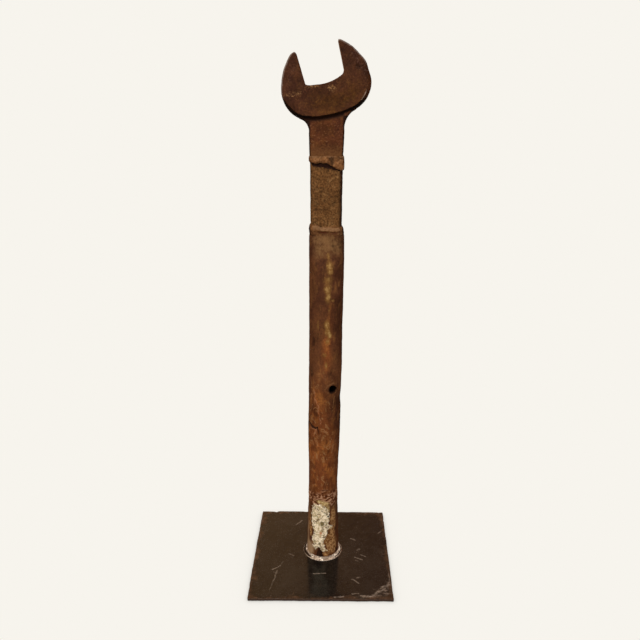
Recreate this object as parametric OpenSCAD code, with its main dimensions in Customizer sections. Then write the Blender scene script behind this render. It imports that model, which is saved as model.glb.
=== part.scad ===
// Open-end wrench with a pipe handle, welded upright on a square steel plate.
// Millimetres. +Z is up and the front of the wrench faces -Y. The origin is the
// centre of the plate's underside. Heights named *_h are above the plate's top.

/* [Base plate] */
// Side of the square plate
plate_side = 152.4; // [120:0.1:200]
// Thickness of the plate
plate_t = 3; // [2:0.5:8]
// Post axis, to the right of the plate's centre
post_x = 2.5; // [-10:0.5:10]
// Post axis, behind the plate's centre
post_y = 4.5; // [-10:0.5:10]

/* [Pipe handle] */
// Outer diameter of the pipe
pipe_od = 33.4; // [32:0.1:36]
// Wall thickness of the pipe
pipe_wall = 3.4; // [2.5:0.1:4]
// Length of the pipe from the plate to its mouth
pipe_len = 368; // [330:1:390]
// Height of the mouth that is hammered flat onto the bar
mouth_flat = 16; // [10:1:25]
// Height over which the round pipe turns into the flat mouth
mouth_taper = 20; // [10:1:30]
// Width of the flat mouth
mouth_w = 34.8; // [34:0.1:38]
// Depth of the flat mouth from front to back
mouth_d = 19.5; // [18:0.1:24]
// Corner radius of the flat mouth
mouth_r = 5; // [2:0.5:7]
// Diameter of the hole through the pipe's front wall
hole_d = 7.6; // [3:0.1:10]
// Distance of that hole to the right of the post axis
hole_x = 8.3; // [-9:0.1:9]
// Height of that hole
hole_h = 207.5; // [150:1:250]

/* [Foot weld] */
// Leg of the fillet weld between the pipe and the plate
foot_leg = 4.7; // [3:0.1:8]
// Place of the burnt notch at the pipe's foot, right of the post axis
notch_x = -6.6; // [-9:0.1:9]
// Height of the notch's taller lobe
notch_h = 12; // [8:0.5:20]

/* [Extension bar] */
// Width of the flat bar where it leaves the pipe
bar_w = 30.2; // [28:0.1:30.5]
// Thickness of the flat bar and of the neck
bar_t = 12.7; // [11:0.1:13]
// Height of the butt weld between the bar and the neck
joint_h = 434.5; // [420:0.5:445]
// Width of the bar and of the neck at the butt weld
joint_w = 31; // [30:0.1:32]
// Width of the tang below the flat mouth
tang_w = 20; // [16:0.5:22]
// Length of the bar that is hidden in the pipe
tang_len = 45; // [38:1:70]

/* [Butt weld] */
// Height of the weld band
band_hgt = 11; // [6:0.5:14]
// How far the band stands out from the bar
band_proud = 1.6; // [0.8:0.1:3]

/* [Jaw head] */
// Height of the head's centre
head_h = 500; // [490:1:520]
// Thickness of the head
head_t = 19; // [15:0.5:24]
// Tilt of the jaw towards the left
jaw_tilt = 15; // [10:0.5:18]
// Width across the gap at the throat
jaw_gap = 36.5; // [34:0.1:37]
// Slope by which each worn jaw face opens, as a fraction of its length
jaw_flare = 0.035; // [0:0.005:0.06]
// Height of the throat's lowest point above the head's centre
throat_v = 3.7; // [2:0.1:6]
// Radius of the throat's hollow
throat_r = 40; // [30:1:60]
// Radius in the throat's right corner
corner_r = 3; // [1:0.5:4]
// Distance of both jaw tips from the head's centre, along the jaw
tip_v = 35.4; // [32:0.1:37]
// Width of the neck where it meets the head
neck_w = 32.6; // [31:0.1:33]
// Radius of the fillet at the neck's left side
fillet_left_r = 12; // [6:0.5:13]
// Radius of the fillet at the neck's right side
fillet_right_r = 19; // [12:0.5:20]

/* [Hidden] */
// Arcs of the head's outline: [across the jaw, along the jaw, radius].
lobe_left = [-16.7, 0.3, 24.5];
lobe_right = [13.4, 1.7, 27.7];
horn_left = [9, -3.4, 50.5];
horn_right = [-2.9, 0.5, 42.5];
// Height along the jaw at which the horns' arcs take over from the lobes'.
horn_start = 4.5;
// Radius of the shallow arc under the head, which touches both lobes.
belly_r = 100;
// Larger than the head, for half planes and through cuts.
far = 120;
EPS = 0.01;
$fn = 96;

pipe_id = pipe_od - 2 * pipe_wall;
mouth_start = pipe_len - mouth_flat;
lip_h = 6.5;
lip_proud = 0.6;

// A point of the tilted jaw in the upright frame of the neck.
function upright(p) = [
    p[0] * cos(jaw_tilt) - p[1] * sin(jaw_tilt),
    p[0] * sin(jaw_tilt) + p[1] * cos(jaw_tilt)
];

// Centre of the circle of radius r that touches circles a and b, each
// [x, y, radius], and holds them both. It lies to the left of the way from a to b.
function holding_centre(a, b, r) =
    let (
        gap = norm([b[0] - a[0], b[1] - a[1]]),
        ra = r - a[2],
        rb = r - b[2],
        along = (ra * ra - rb * rb + gap * gap) / (2 * gap),
        side = sqrt(ra * ra - along * along),
        ux = (b[0] - a[0]) / gap,
        uy = (b[1] - a[1]) / gap
    )
    [a[0] + along * ux - side * uy, a[1] + along * uy + side * ux];

// Moves what stands on the plate to the post axis.
module on_post() {
    translate([post_x, post_y, plate_t]) children();
}

// Stands a flat outline up, centred on the post from front to back.
module upright_slab(thickness) {
    rotate([90, 0, 0])
        linear_extrude(height = thickness, center = true) children();
}

// A rectangle with round corners, centred.
module rounded_rectangle(w, d, r) {
    square([w - 2 * r, d], center = true);
    square([w, d - 2 * r], center = true);
    for (sx = [-1, 1], sy = [-1, 1])
        translate([sx * (w / 2 - r), sy * (d / 2 - r)]) circle(r);
}

// A thin slice of a rounded rectangle, for hulls.
module slice(h, w, d, r) {
    translate([0, 0, h])
        linear_extrude(EPS) rounded_rectangle(w, d, r, $fn = 32);
}

module base_plate() {
    color([0.22, 0.16, 0.12])
        translate([-plate_side / 2, -plate_side / 2, 0])
            cube([plate_side, plate_side, plate_t]);
}

// Fillet weld all round the pipe's foot.
module foot_weld() {
    color([0.6, 0.5, 0.46])
        on_post()
            rotate_extrude()
                polygon([
                    [pipe_od / 2, 0],
                    [pipe_od / 2 + foot_leg, 0],
                    [pipe_od / 2, foot_leg]
                ]);
}

// One lobe of the notch burnt through the pipe's front wall, open at the foot.
module notch_lobe(x, w, h) {
    translate([x - w / 2, -pipe_od, -1]) cube([w, pipe_od, h - w / 2 + 1]);
    translate([x, 0, h - w / 2]) rotate([90, 0, 0]) cylinder(h = pipe_od, d = w);
}

// Outside of the pipe: round, then flat at the mouth.
module tube_outside() {
    cylinder(h = mouth_start - mouth_taper, d = pipe_od);
    hull() {
        translate([0, 0, mouth_start - mouth_taper]) cylinder(h = EPS, d = pipe_od, $fn = 96);
        slice(mouth_start, mouth_w, mouth_d, mouth_r);
    }
    translate([0, 0, mouth_start])
        linear_extrude(mouth_flat) rounded_rectangle(mouth_w, mouth_d, mouth_r);
}

// Inside of the pipe: the bore, and the pocket that holds the bar.
module tube_inside() {
    translate([0, 0, -1]) cylinder(h = mouth_start - mouth_taper + 1, d = pipe_id);
    hull() {
        translate([0, 0, mouth_start - mouth_taper - EPS]) cylinder(h = EPS, d = pipe_id, $fn = 96);
        translate([-bar_w / 2, -bar_t / 2, mouth_start]) cube([bar_w, bar_t, EPS]);
    }
    translate([-bar_w / 2, -bar_t / 2, mouth_start]) cube([bar_w, bar_t, mouth_flat + 1]);
}

module handle_tube() {
    color([0.38, 0.22, 0.12])
        on_post()
            difference() {
                tube_outside();
                tube_inside();
                translate([hole_x, 0, hole_h])
                    rotate([90, 0, 0]) cylinder(h = pipe_od, d = hole_d);
                notch_lobe(notch_x, 2.8, notch_h);
                notch_lobe(notch_x + 3.3, 2.6, notch_h * 0.7);
            }
}

// Lip of weld metal on the mouth, all round the bar.
module mouth_weld() {
    color([0.5, 0.36, 0.25])
        difference() {
            on_post()
                hull() {
                    slice(pipe_len, mouth_w - 1, mouth_d - 1, mouth_r);
                    slice(pipe_len + lip_h, bar_w + 2 * lip_proud, bar_t + 2 * lip_proud, 1);
                }
            shank_bar();
        }
}

// The bar's outline: tang, full width in the mouth, then up to the butt weld.
module bar_outline() {
    low = mouth_start - mouth_taper * 0.75;
    polygon([
        [-tang_w / 2, pipe_len - tang_len],
        [tang_w / 2, pipe_len - tang_len],
        [tang_w / 2, low],
        [bar_w / 2, mouth_start],
        [bar_w / 2, pipe_len],
        [joint_w / 2, joint_h],
        [-joint_w / 2, joint_h],
        [-bar_w / 2, pipe_len],
        [-bar_w / 2, mouth_start],
        [-tang_w / 2, low]
    ]);
}

module shank_bar() {
    color([0.36, 0.25, 0.14])
        on_post() upright_slab(bar_t) bar_outline();
}

// Band of weld metal round the joint of the bar and the neck.
module shank_weld() {
    color([0.5, 0.38, 0.27])
        difference() {
            on_post()
                hull()
                    for (step = [[-0.5, 0.3], [-0.2, 1], [0.2, 1], [0.5, 0.3]])
                        slice(
                            joint_h + step[0] * band_hgt,
                            joint_w + 2 * band_proud * step[1],
                            bar_t + 2 * band_proud * step[1],
                            1.5
                        );
            shank_bar();
            on_post() upright_slab(bar_t) neck_outline();
        }
}

// Everything below, up to jaw_head, is drawn round the head's centre.
module at_head() {
    translate([0, head_h]) children();
}

module disc(c) {
    translate([c[0], c[1]]) circle(c[2], $fn = 128);
}

// Solid outline of the head before the gap is cut.
module head_blank() {
    a = upright(lobe_left);
    b = upright(lobe_right);
    left = [a[0], a[1], lobe_left[2]];
    right = [b[0], b[1], lobe_right[2]];
    c = holding_centre(left, right, belly_r);
    disc(left);
    disc(right);
    intersection() {
        disc([c[0], c[1], belly_r]);
        polygon([a, b, c + (b - c) * 3, c + (a - c) * 3]);
    }
    rotate(jaw_tilt)
        intersection() {
            disc(horn_left);
            disc(horn_right);
            translate([-far / 2, horn_start]) square([far, tip_v - horn_start]);
        }
}

// The gap between the jaws, with its hollow throat and one round corner.
module jaw_cut() {
    half = jaw_gap / 2;
    open = half + jaw_flare * (far - throat_v);
    hollow_v = throat_v + throat_r;
    corner = [half - corner_r, hollow_v - sqrt(pow(throat_r - corner_r, 2) - pow(half - corner_r, 2))];
    touch = corner + (corner - [0, hollow_v]) * corner_r / (throat_r - corner_r);
    rotate(jaw_tilt)
        difference() {
            intersection() {
                polygon([[-half, throat_v], [half, throat_v], [open, far], [-open, far]]);
                union() {
                    disc([0, hollow_v, throat_r]);
                    translate([-far / 2, hollow_v - sqrt(pow(throat_r, 2) - pow(half, 2))])
                        square([far, far]);
                }
            }
            difference() {
                polygon([corner, [half + 2, corner[1]], [half + 2, touch[1] - 2], touch]);
                disc([corner[0], corner[1], corner_r]);
            }
        }
}

// Concave fillet between the neck's side and a lobe; side is -1 left, 1 right.
module neck_fillet(side, lobe, r) {
    c = upright(lobe);
    edge = side * neck_w / 2;
    x = edge + side * r;
    z = c[1] - sqrt(pow(lobe[2] + r, 2) - pow(x - c[0], 2));
    inner = edge - side * 2;
    difference() {
        polygon([[x, z], [inner, z], [inner, c[1]], c]);
        disc([x, z, r]);
    }
}

module neck_outline() {
    polygon([
        [-joint_w / 2, joint_h],
        [joint_w / 2, joint_h],
        [neck_w / 2, head_h - fillet_left_r * 3.5],
        [neck_w / 2, head_h],
        [-neck_w / 2, head_h],
        [-neck_w / 2, head_h - fillet_left_r * 3.5]
    ]);
}

module jaw_head() {
    color([0.3, 0.17, 0.11])
        on_post()
            difference() {
                union() {
                    upright_slab(head_t) at_head() head_blank();
                    upright_slab(bar_t) {
                        neck_outline();
                        at_head() neck_fillet(-1, lobe_left, fillet_left_r);
                        at_head() neck_fillet(1, lobe_right, fillet_right_r);
                    }
                }
                upright_slab(head_t + 2) at_head() jaw_cut();
            }
}

base_plate();
foot_weld();
handle_tube();
mouth_weld();
shank_bar();
shank_weld();
jaw_head();
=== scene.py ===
"""A worn open-end wrench with a pipe handle, welded upright on a square steel plate.

The pieces are built in millimetres and stored in metres. Places on the post are x to the
right of its axis, y behind it and z above the plate's top. Places on the plate are
measured from the middle of its underside.
"""

import math

import bmesh
import bpy
import numpy as np
from mathutils import Matrix, Vector


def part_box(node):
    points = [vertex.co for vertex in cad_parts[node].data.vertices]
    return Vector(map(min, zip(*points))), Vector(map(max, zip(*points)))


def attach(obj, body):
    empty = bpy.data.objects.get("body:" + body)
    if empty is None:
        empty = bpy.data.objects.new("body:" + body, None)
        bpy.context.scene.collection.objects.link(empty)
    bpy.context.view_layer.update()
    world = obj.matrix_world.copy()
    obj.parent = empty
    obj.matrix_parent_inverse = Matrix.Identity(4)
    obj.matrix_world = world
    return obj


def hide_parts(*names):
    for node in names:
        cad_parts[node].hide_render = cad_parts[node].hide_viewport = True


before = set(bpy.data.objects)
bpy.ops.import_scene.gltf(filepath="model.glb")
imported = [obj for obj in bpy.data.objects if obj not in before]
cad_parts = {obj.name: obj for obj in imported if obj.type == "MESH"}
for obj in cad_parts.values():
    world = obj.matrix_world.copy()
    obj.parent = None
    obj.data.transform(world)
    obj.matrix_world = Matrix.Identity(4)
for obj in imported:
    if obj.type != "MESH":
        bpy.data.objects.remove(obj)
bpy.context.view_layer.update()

MM = 0.001
# Points that a cut leaves closer together than this are merged.
CLOSE = 0.003

# ---------------------------------------------------------------- places from the CAD

plate_low, plate_high = (np.array(corner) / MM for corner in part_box("base_plate"))
pipe_low, pipe_high = (np.array(corner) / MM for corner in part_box("handle_tube"))
bar_low, bar_high = (np.array(corner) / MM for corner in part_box("shank_bar"))
head_low, head_high = (np.array(corner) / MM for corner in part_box("jaw_head"))

PLATE_HALF = (plate_high[0] - plate_low[0]) / 2
PLATE_T = plate_high[2] - plate_low[2]
PLATE_MIDDLE = (plate_low + plate_high) / 2
PIPE_MIDDLE = (pipe_low + pipe_high) / 2
POST = np.array([PIPE_MIDDLE[0], PIPE_MIDDLE[1], plate_high[2]])
PIPE_R = (pipe_high[1] - pipe_low[1]) / 2
PIPE_LEN = pipe_high[2] - pipe_low[2]
BAR_T = bar_high[1] - bar_low[1]
TANG_END = bar_low[2] - POST[2]
JOINT_H = bar_high[2] - POST[2]
JOINT_W = bar_high[0] - bar_low[0]
HEAD_T = head_high[1] - head_low[1]

# Sizes that no box gives, as in part.scad.
BORE_R = 13.3
MOUTH_D = 19.5
MOUTH_START = PIPE_LEN - 16
TAPER_START = MOUTH_START - 20
BAR_W = 30.2
TANG_W = 20
# The hole in the pipe's front: right of the axis, and up.
HOLE = (8.3, 207.5)
# Radii that differ from the CAD's. The hole is worn wider and the mouth's corners are
# rounder. The bar and its pocket have round corners, where the CAD's are square.
HOLE_R = 3.9
MOUTH_R = 6.5
POCKET_R = 1.0
BAR_R = 2.6

# ---------------------------------------------------------------- noise


def lattice(cell, seed):
    """A steady random number from 0 to 1 for each whole-numbered cell."""
    code = cell[..., 0] * 374761393 + cell[..., 1] * 668265263
    code = code + cell[..., 2] * 2147483647 + seed * 144665
    code = code & 0xFFFFFFFF
    code = ((code ^ (code >> 13)) * 1274126177) & 0xFFFFFFFF
    return ((code ^ (code >> 16)) & 0xFFFFFF) / 0xFFFFFF


def noise(points, size, seed):
    """Smooth noise from -1 to 1 with lumps about size wide."""
    place = points / size
    cell = np.floor(place).astype(np.int64)
    part = place - cell
    part = part * part * (3 - 2 * part)
    total = np.zeros(len(points))
    for corner in np.ndindex(2, 2, 2):
        share = np.where(corner, part, 1 - part).prod(axis=1)
        total += share * lattice(cell + np.array(corner), seed)
    return total * 2 - 1


def fbm(points, size, seed, octaves=4):
    """Noise with finer noise on it, from about -1 to 1."""
    total = np.zeros(len(points))
    weight = 1.0
    for octave in range(octaves):
        total += weight * noise(points + 17.3 * octave, size, seed + octave)
        size /= 2.03
        weight *= 0.55
    return total * 0.8


def pits(points, size, seed, share, reach):
    """Depth from 0 to 1 of round pits. One in every 1 / share cells of that size holds
    a pit, of radius reach as a part of size."""
    place = points / size
    cell = np.floor(place).astype(np.int64)
    depth = np.zeros(len(points))
    for shift in np.ndindex(3, 3, 3):
        near = cell + np.array(shift) - 1
        centre = near + np.stack([lattice(near, seed + k) for k in (1, 2, 3)], axis=1)
        radius = reach * (0.5 + lattice(near, seed + 4))
        gap = np.linalg.norm(place - centre, axis=1) / radius
        found = lattice(near, seed) < share
        depth = np.maximum(depth, found * np.clip(1 - gap * gap, 0, 1))
    return depth


def step(value, low, high):
    """0 below low, 1 above high, smooth between; high may be the lower of the two."""
    part = np.clip((value - low) / (high - low), 0, 1)
    return part * part * (3 - 2 * part)


def glide(at, places, values):
    """Values along a line, with a smooth step from each place to the next."""
    total = np.full(np.shape(at), float(values[0]))
    for k in range(1, len(places)):
        total = total + (values[k] - values[k - 1]) * step(at, places[k - 1], places[k])
    return total


def soft(gap, width):
    """1 where gap is 0, falling smoothly to 0 over a width on both sides."""
    return np.exp(-((gap / width) ** 2))


def uneven(points, waves, holes):
    """Height of an uneven surface: waves, each [height, size, seed, octaves], less round
    holes, each [depth, size, seed, share, reach]."""
    total = np.zeros(len(points))
    for height, size, seed, octaves in waves:
        total += height * fbm(points, size, seed, octaves)
    for depth, size, seed, share, reach in holes:
        total -= depth * pits(points, size, seed, share, reach)
    return total


def spots(across, up, table):
    """Sum of soft spots, each [across, up, half width, half height, strength]."""
    total = np.zeros(len(across))
    for x, z, wide, tall, strength in table:
        total += strength * np.exp(-(((across - x) / wide) ** 2) - ((up - z) / tall) ** 2)
    return total


def line_gap(points, path):
    """Distance of 2-D points from a broken line."""
    gap = np.full(len(points), 1e9)
    for a, b in zip(path[:-1], path[1:]):
        a = np.array(a, float)
        way = np.array(b, float) - a
        part = np.clip(((points - a) @ way) / (way @ way), 0, 1)
        gap = np.minimum(gap, np.linalg.norm(points - a - part[:, None] * way, axis=1))
    return gap


def inside(points, outline):
    """Signed distance from a closed 2-D outline, above 0 inside it."""
    closed = list(outline) + [outline[0]]
    odd = np.zeros(len(points), bool)
    for a, b in zip(closed[:-1], closed[1:]):
        crosses = (points[:, 1] < a[1]) != (points[:, 1] < b[1])
        rise = b[1] - a[1] if b[1] != a[1] else 1e-9
        odd ^= crosses & (points[:, 0] < a[0] + (points[:, 1] - a[1]) / rise * (b[0] - a[0]))
    return np.where(odd, 1, -1) * line_gap(points, closed)


# ---------------------------------------------------------------- meshes


def resample(profile, count):
    """Even points along a closed profile."""
    path = np.array(list(profile) + [profile[0]], float)
    run = np.concatenate([[0], np.cumsum(np.linalg.norm(np.diff(path, axis=0), axis=1))])
    at = np.arange(count) / count * run[-1]
    return np.stack([np.interp(at, run, path[:, 0]), np.interp(at, run, path[:, 1])], axis=1)


def ring(width, depth, radius, count):
    """Evenly spaced points round a rectangle with round corners, from the middle of
    its right side."""
    turn = np.linspace(0, np.pi / 2, 25)
    parts = [np.array([[width / 2, 0]])]
    for k, (sx, sy) in enumerate([(1, 1), (-1, 1), (-1, -1), (1, -1)]):
        angle = turn + k * np.pi / 2
        corner = np.array([sx * (width / 2 - radius), sy * (depth / 2 - radius)])
        parts.append(corner + radius * np.stack([np.cos(angle), np.sin(angle)], axis=1))
    return resample(np.vstack(parts), count)


def loft_quads(rows, cols, closed):
    """Quads between rows of ring points; closed joins the last row to the first."""
    index = np.arange(rows * cols).reshape(rows, cols)
    if closed:
        index = np.vstack([index, index[:1]])
    a, b = index[:-1], index[1:]
    corners = [a, np.roll(a, -1, axis=1), np.roll(b, -1, axis=1), b]
    return np.stack(corners, axis=-1).reshape(-1, 4)


def grid_normals(grid, closed):
    """Unit normals of a grid whose rows are rings."""
    around = np.roll(grid, -1, axis=1) - np.roll(grid, 1, axis=1)
    if closed:
        along = np.roll(grid, -1, axis=0) - np.roll(grid, 1, axis=0)
    else:
        along = np.gradient(grid, axis=0)
    normal = np.cross(around, along)
    return normal / np.maximum(np.linalg.norm(normal, axis=2, keepdims=True), 1e-9)


def raised(grid, relief, closed):
    """A grid of rings with each point moved out along its normal by its relief."""
    return grid + grid_normals(grid, closed) * relief.reshape(grid.shape[:2])[..., None]


def ring_at(outline, height):
    """A flat outline as 3-D points at one height."""
    return np.column_stack([outline, np.full(len(outline), height)])


def new_piece(name, points, faces, origin):
    """A smooth mesh object from points in millimetres round an origin."""
    mesh = bpy.data.meshes.new(name)
    mesh.from_pydata(((points + origin) * MM).tolist(), [], faces)
    mesh.polygons.foreach_set("use_smooth", [True] * len(mesh.polygons))
    mesh.update()
    obj = bpy.data.objects.new(name, mesh)
    bpy.context.scene.collection.objects.link(obj)
    return obj


def band_piece(name, grid):
    """A piece from rows of rings on the post, the last row joined to the first."""
    quads = loft_quads(len(grid), grid.shape[1], True)
    return new_piece(name, grid.reshape(-1, 3), quads.tolist(), POST)


def read_points(obj, origin):
    """A mesh's points in millimetres round an origin."""
    flat = np.empty(len(obj.data.vertices) * 3, np.float32)
    obj.data.vertices.foreach_get("co", flat)
    return flat.reshape(-1, 3).astype(float) / MM - origin


def write_points(obj, points, origin):
    flat = ((points + origin) * MM).astype(np.float32).ravel()
    obj.data.vertices.foreach_set("co", flat)
    obj.data.update()


def read_normals(obj):
    flat = np.empty(len(obj.data.vertices) * 3, np.float32)
    obj.data.vertex_normals.foreach_get("vector", flat)
    return flat.reshape(-1, 3).astype(float)


def store(obj, **values):
    """Keeps numbers on the points for the material to read."""
    for name, value in values.items():
        layer = obj.data.attributes.new(name, "FLOAT", "POINT")
        layer.data.foreach_set("value", np.asarray(value, np.float32))


def take_modifiers(obj):
    """Gives obj the mesh that its modifiers make."""
    graph = bpy.context.evaluated_depsgraph_get()
    mesh = bpy.data.meshes.new_from_object(obj.evaluated_get(graph))
    obj.modifiers.clear()
    obj.data = mesh


def carve(obj, cutter):
    """Cuts a closed mesh out of obj, and removes the cutter."""
    cut = obj.modifiers.new("cut", "BOOLEAN")
    cut.operation = "DIFFERENCE"
    cut.solver = "EXACT"
    cut.object = cutter
    take_modifiers(obj)
    bpy.data.objects.remove(cutter)


def merge_close(obj):
    """Merges points closer together than CLOSE."""
    mesh = bmesh.new()
    mesh.from_mesh(obj.data)
    bmesh.ops.remove_doubles(mesh, verts=mesh.verts, dist=CLOSE * MM)
    bmesh.ops.dissolve_degenerate(mesh, edges=mesh.edges, dist=CLOSE * MM)
    mesh.to_mesh(obj.data)
    mesh.free()


def dense_copy(node, name, voxel):
    """An even mesh of a CAD node's shape, as an object of its own, with faces about
    voxel wide."""
    obj = bpy.data.objects.new(name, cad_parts[node].data.copy())
    bpy.context.scene.collection.objects.link(obj)
    obj.data.materials.clear()
    remesh = obj.modifiers.new("remesh", "REMESH")
    remesh.mode = "VOXEL"
    remesh.voxel_size = voxel * MM
    take_modifiers(obj)
    obj.data.name = name
    obj.data.polygons.foreach_set("use_smooth", [True] * len(obj.data.polygons))
    return obj


def finish_piece(obj, node, material):
    """Puts the piece in the CAD node's place, with its material."""
    obj.data.materials.clear()
    obj.data.materials.append(material)
    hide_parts(node)
    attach(obj, "root")


# ---------------------------------------------------------------- materials


class Nodes:
    """Adds nodes to a node tree."""

    def __init__(self, tree):
        self.tree = tree

    def put(self, socket, value):
        if isinstance(value, bpy.types.NodeSocket):
            self.tree.links.new(value, socket)
        elif isinstance(value, tuple) and socket.type == "RGBA":
            socket.default_value = (*value, 1)
        else:
            socket.default_value = value

    def make(self, kind, inputs, **settings):
        node = self.tree.nodes.new(kind)
        for key, value in settings.items():
            setattr(node, key, value)
        for key, value in inputs.items():
            self.put(node.inputs[key], value)
        return node

    def math(self, kind, *values, clamp=False):
        inputs = dict(enumerate(values))
        return self.make("ShaderNodeMath", inputs, operation=kind, use_clamp=clamp).outputs[0]

    def times(self, *values):
        """The product of numbers."""
        total = values[0]
        for value in values[1:]:
            total = self.math("MULTIPLY", total, value)
        return total

    def vector(self, kind, *values):
        inputs = dict(enumerate(values))
        return self.make("ShaderNodeVectorMath", inputs, operation=kind)

    def scaled(self, colour, scale):
        node = self.make("ShaderNodeVectorMath", {}, operation="SCALE")
        self.put(node.inputs[0], colour)
        self.put(node.inputs["Scale"], scale)
        return node.outputs[0]

    def blend(self, share, a, b):
        node = self.make("ShaderNodeMix", {}, data_type="RGBA")
        self.put(node.inputs["Factor"], share)
        self.put(node.inputs[6], a)
        self.put(node.inputs[7], b)
        return node.outputs[2]

    def level(self, value, low, high):
        """0 below low, 1 above high, smooth between; high may be the lower of the two."""
        inputs = {"Value": value, "From Min": low, "From Max": high}
        node = self.make("ShaderNodeMapRange", inputs, interpolation_type="SMOOTHSTEP")
        return node.outputs[0]

    def ramp(self, value, low, high, a, b):
        """Colour a where a value is below low, b where it is above high."""
        return self.blend(self.level(value, low, high), a, b)


class Paint(Nodes):
    """Builds one material, with its colour, out of nodes. Sizes are in millimetres."""

    def __init__(self, name, specular):
        self.material = bpy.data.materials.new(name)
        self.material.use_nodes = True
        super().__init__(self.material.node_tree)
        self.tree.nodes.clear()
        self.shader = self.tree.nodes.new("ShaderNodeBsdfPrincipled")
        self.shader.inputs["Specular IOR Level"].default_value = specular
        output = self.tree.nodes.new("ShaderNodeOutputMaterial")
        self.tree.links.new(self.shader.outputs[0], output.inputs[0])
        self.place = self.tree.nodes.new("ShaderNodeTexCoord").outputs["Object"]

    def noise(self, size, detail=4.0, rough=0.55, stretch=(1, 1, 1), warp=0.0):
        """Noise around 0.5 with lumps about size wide, drawn out along stretch."""
        scale = tuple(1 / (size * MM * part) for part in stretch)
        place = self.vector("MULTIPLY", self.place, scale).outputs[0]
        inputs = {"Vector": place, "Scale": 1.0, "Detail": detail, "Roughness": rough}
        inputs["Distortion"] = warp
        return self.make("ShaderNodeTexNoise", inputs).outputs["Fac"]

    def attribute(self, name):
        return self.make("ShaderNodeAttribute", {}, attribute_name=name).outputs["Fac"]

    def contours(self, field, turns, low, high):
        """Lines along the contours of a field, turns of them from 0 to 1."""
        wave = self.math("SINE", self.math("MULTIPLY", field, 2 * math.pi * turns))
        return self.level(wave, low, high)

    def shaded(self, colour, share, amount):
        """A colour scaled by 1 - amount where share is 0, up to 1 + amount where it is 1."""
        scale = self.math("MULTIPLY_ADD", share, 2 * amount, 1.0 - amount)
        return self.scaled(colour, scale)

    def shade(self, value, low, high, amount):
        """Makes the colour darker where a value is low and lighter where it is high."""
        self.colour = self.shaded(self.colour, self.level(value, low, high), amount)

    def lay(self, share, colour):
        """Lays another colour over the colour where share is 1."""
        self.colour = self.blend(share, self.colour, colour)

    def frayed(self, value, grain, fray, low, high):
        """A soft field turned into a patch whose outline follows a grain around 0.5."""
        part = self.math("SUBTRACT", grain, 0.5)
        return self.level(self.math("MULTIPLY_ADD", part, fray, value), low, high)

    def bump(self, height, distance, strength=1.0, under=None):
        inputs = {"Height": height, "Distance": distance * MM, "Strength": strength}
        if under is not None:
            inputs["Normal"] = under
        return self.make("ShaderNodeBump", inputs).outputs[0]

    def end(self, roughness, normal):
        self.put(self.shader.inputs["Base Color"], self.colour)
        self.put(self.shader.inputs["Roughness"], roughness)
        self.put(self.shader.inputs["Normal"], normal)
        return self.material


class Rust(Paint):
    """Old rust: broad clouds, blotches, stains and grit, with painted shade in the pits and other low
    places and a painted highlight on the high ones.
    """

    def __init__(
        self, name, specular, dark, mid, light, broad,
        contrast, stretch=(1, 1, 1), fine=0.62, swirl=0.8,
    ):
        super().__init__(name, specular)
        clouds = self.noise(broad, 4.0, fine, stretch, swirl)
        self.blotches = self.noise(5.0, 5.0, fine, stretch, swirl)
        self.grit = self.noise(1.7, 3.0, 0.65)
        stains = self.noise(7.5, 5.0, fine, stretch, swirl / 2)
        black = tuple(0.55 * part for part in dark)
        self.colour = self.ramp(clouds, 0.38, 0.62, dark, mid)
        self.lay(self.level(self.blotches, 0.48, 0.72), light)
        self.lay(self.level(stains, 0.56, 0.74), black)
        self.shade(self.grit, 0.3, 0.7, contrast)
        # Painted shade and highlight: darker where the points' relief is low, lighter where it is
        # high.
        self.shade(self.attribute("relief"), -1.0, 1.0, 0.5)

    def patch(self, name, colour, fray, low, high, grain=None):
        """Lays a colour where the points' number called name is high."""
        value = self.attribute(name)
        share = self.frayed(value, grain or self.grit, fray, low, high)
        self.lay(self.times(share, self.level(value, 0.03, 0.35)), colour)

    def tint(self, name, factor, fray=1.0, low=0.0, high=1.0):
        """Multiplies the colour where the points' number called name is high."""
        share = self.frayed(self.attribute(name), self.blotches, fray, low, high)
        self.lay(share, self.vector("MULTIPLY", self.colour, factor).outputs[0])

    def finish(self, rough, shine, depth, strength=0.6):
        """Roughness falls by shine over the blotches; the grit stands depth high."""
        normal = self.bump(self.grit, depth, strength)
        roughness = self.math("MULTIPLY_ADD", self.blotches, -shine, rough)
        return self.end(roughness, normal)


def lay_streaks(rust):
    """Soft pale veins that run up the pipe with dark red clouds between them, then dust,
    ochre streaks that are partly rust and partly a painted highlight down the pipe's front, and tan
    rust."""
    veined = rust.attribute("veins")
    veins = rust.contours(rust.noise(8.5, 4.0, 0.62, (1, 1, 1.5), 1.1), 3.6, 0.6, 1.0)
    rust.lay(rust.times(veins, 0.8, veined), (0.295, 0.142, 0.058))
    clouds = rust.level(rust.noise(6.0, 3.0, 0.5, (1, 1, 1.7), 0.5), 0.52, 0.66)
    rust.lay(rust.times(clouds, 0.7, veined), (0.085, 0.024, 0.008))
    streaks = rust.noise(1.9, 4.0, 0.7, (1, 1, 2.0))
    dusty = rust.noise(2.6, 4.0, 0.7, (1, 1, 1.3), 0.3)
    rust.patch("dust", (0.235, 0.120, 0.048), 2.8, -0.2, 1.7, dusty)
    # Ochre streaks: partly rust, partly a painted highlight down the middle of the pipe's front.
    rust.patch("ochre", (0.220, 0.105, 0.028), 1.4, 0.0, 1.1, streaks)
    rust.patch("ochre", (0.38, 0.225, 0.080), 3.6, 0.6, 1.6, streaks)
    rust.patch("pale", (0.31, 0.150, 0.078), 1.2, 0.25, 1.15, streaks)
    rust.patch("tan", (0.345, 0.215, 0.118), 1.2, 0.2, 1.1, rust.blotches)


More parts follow.
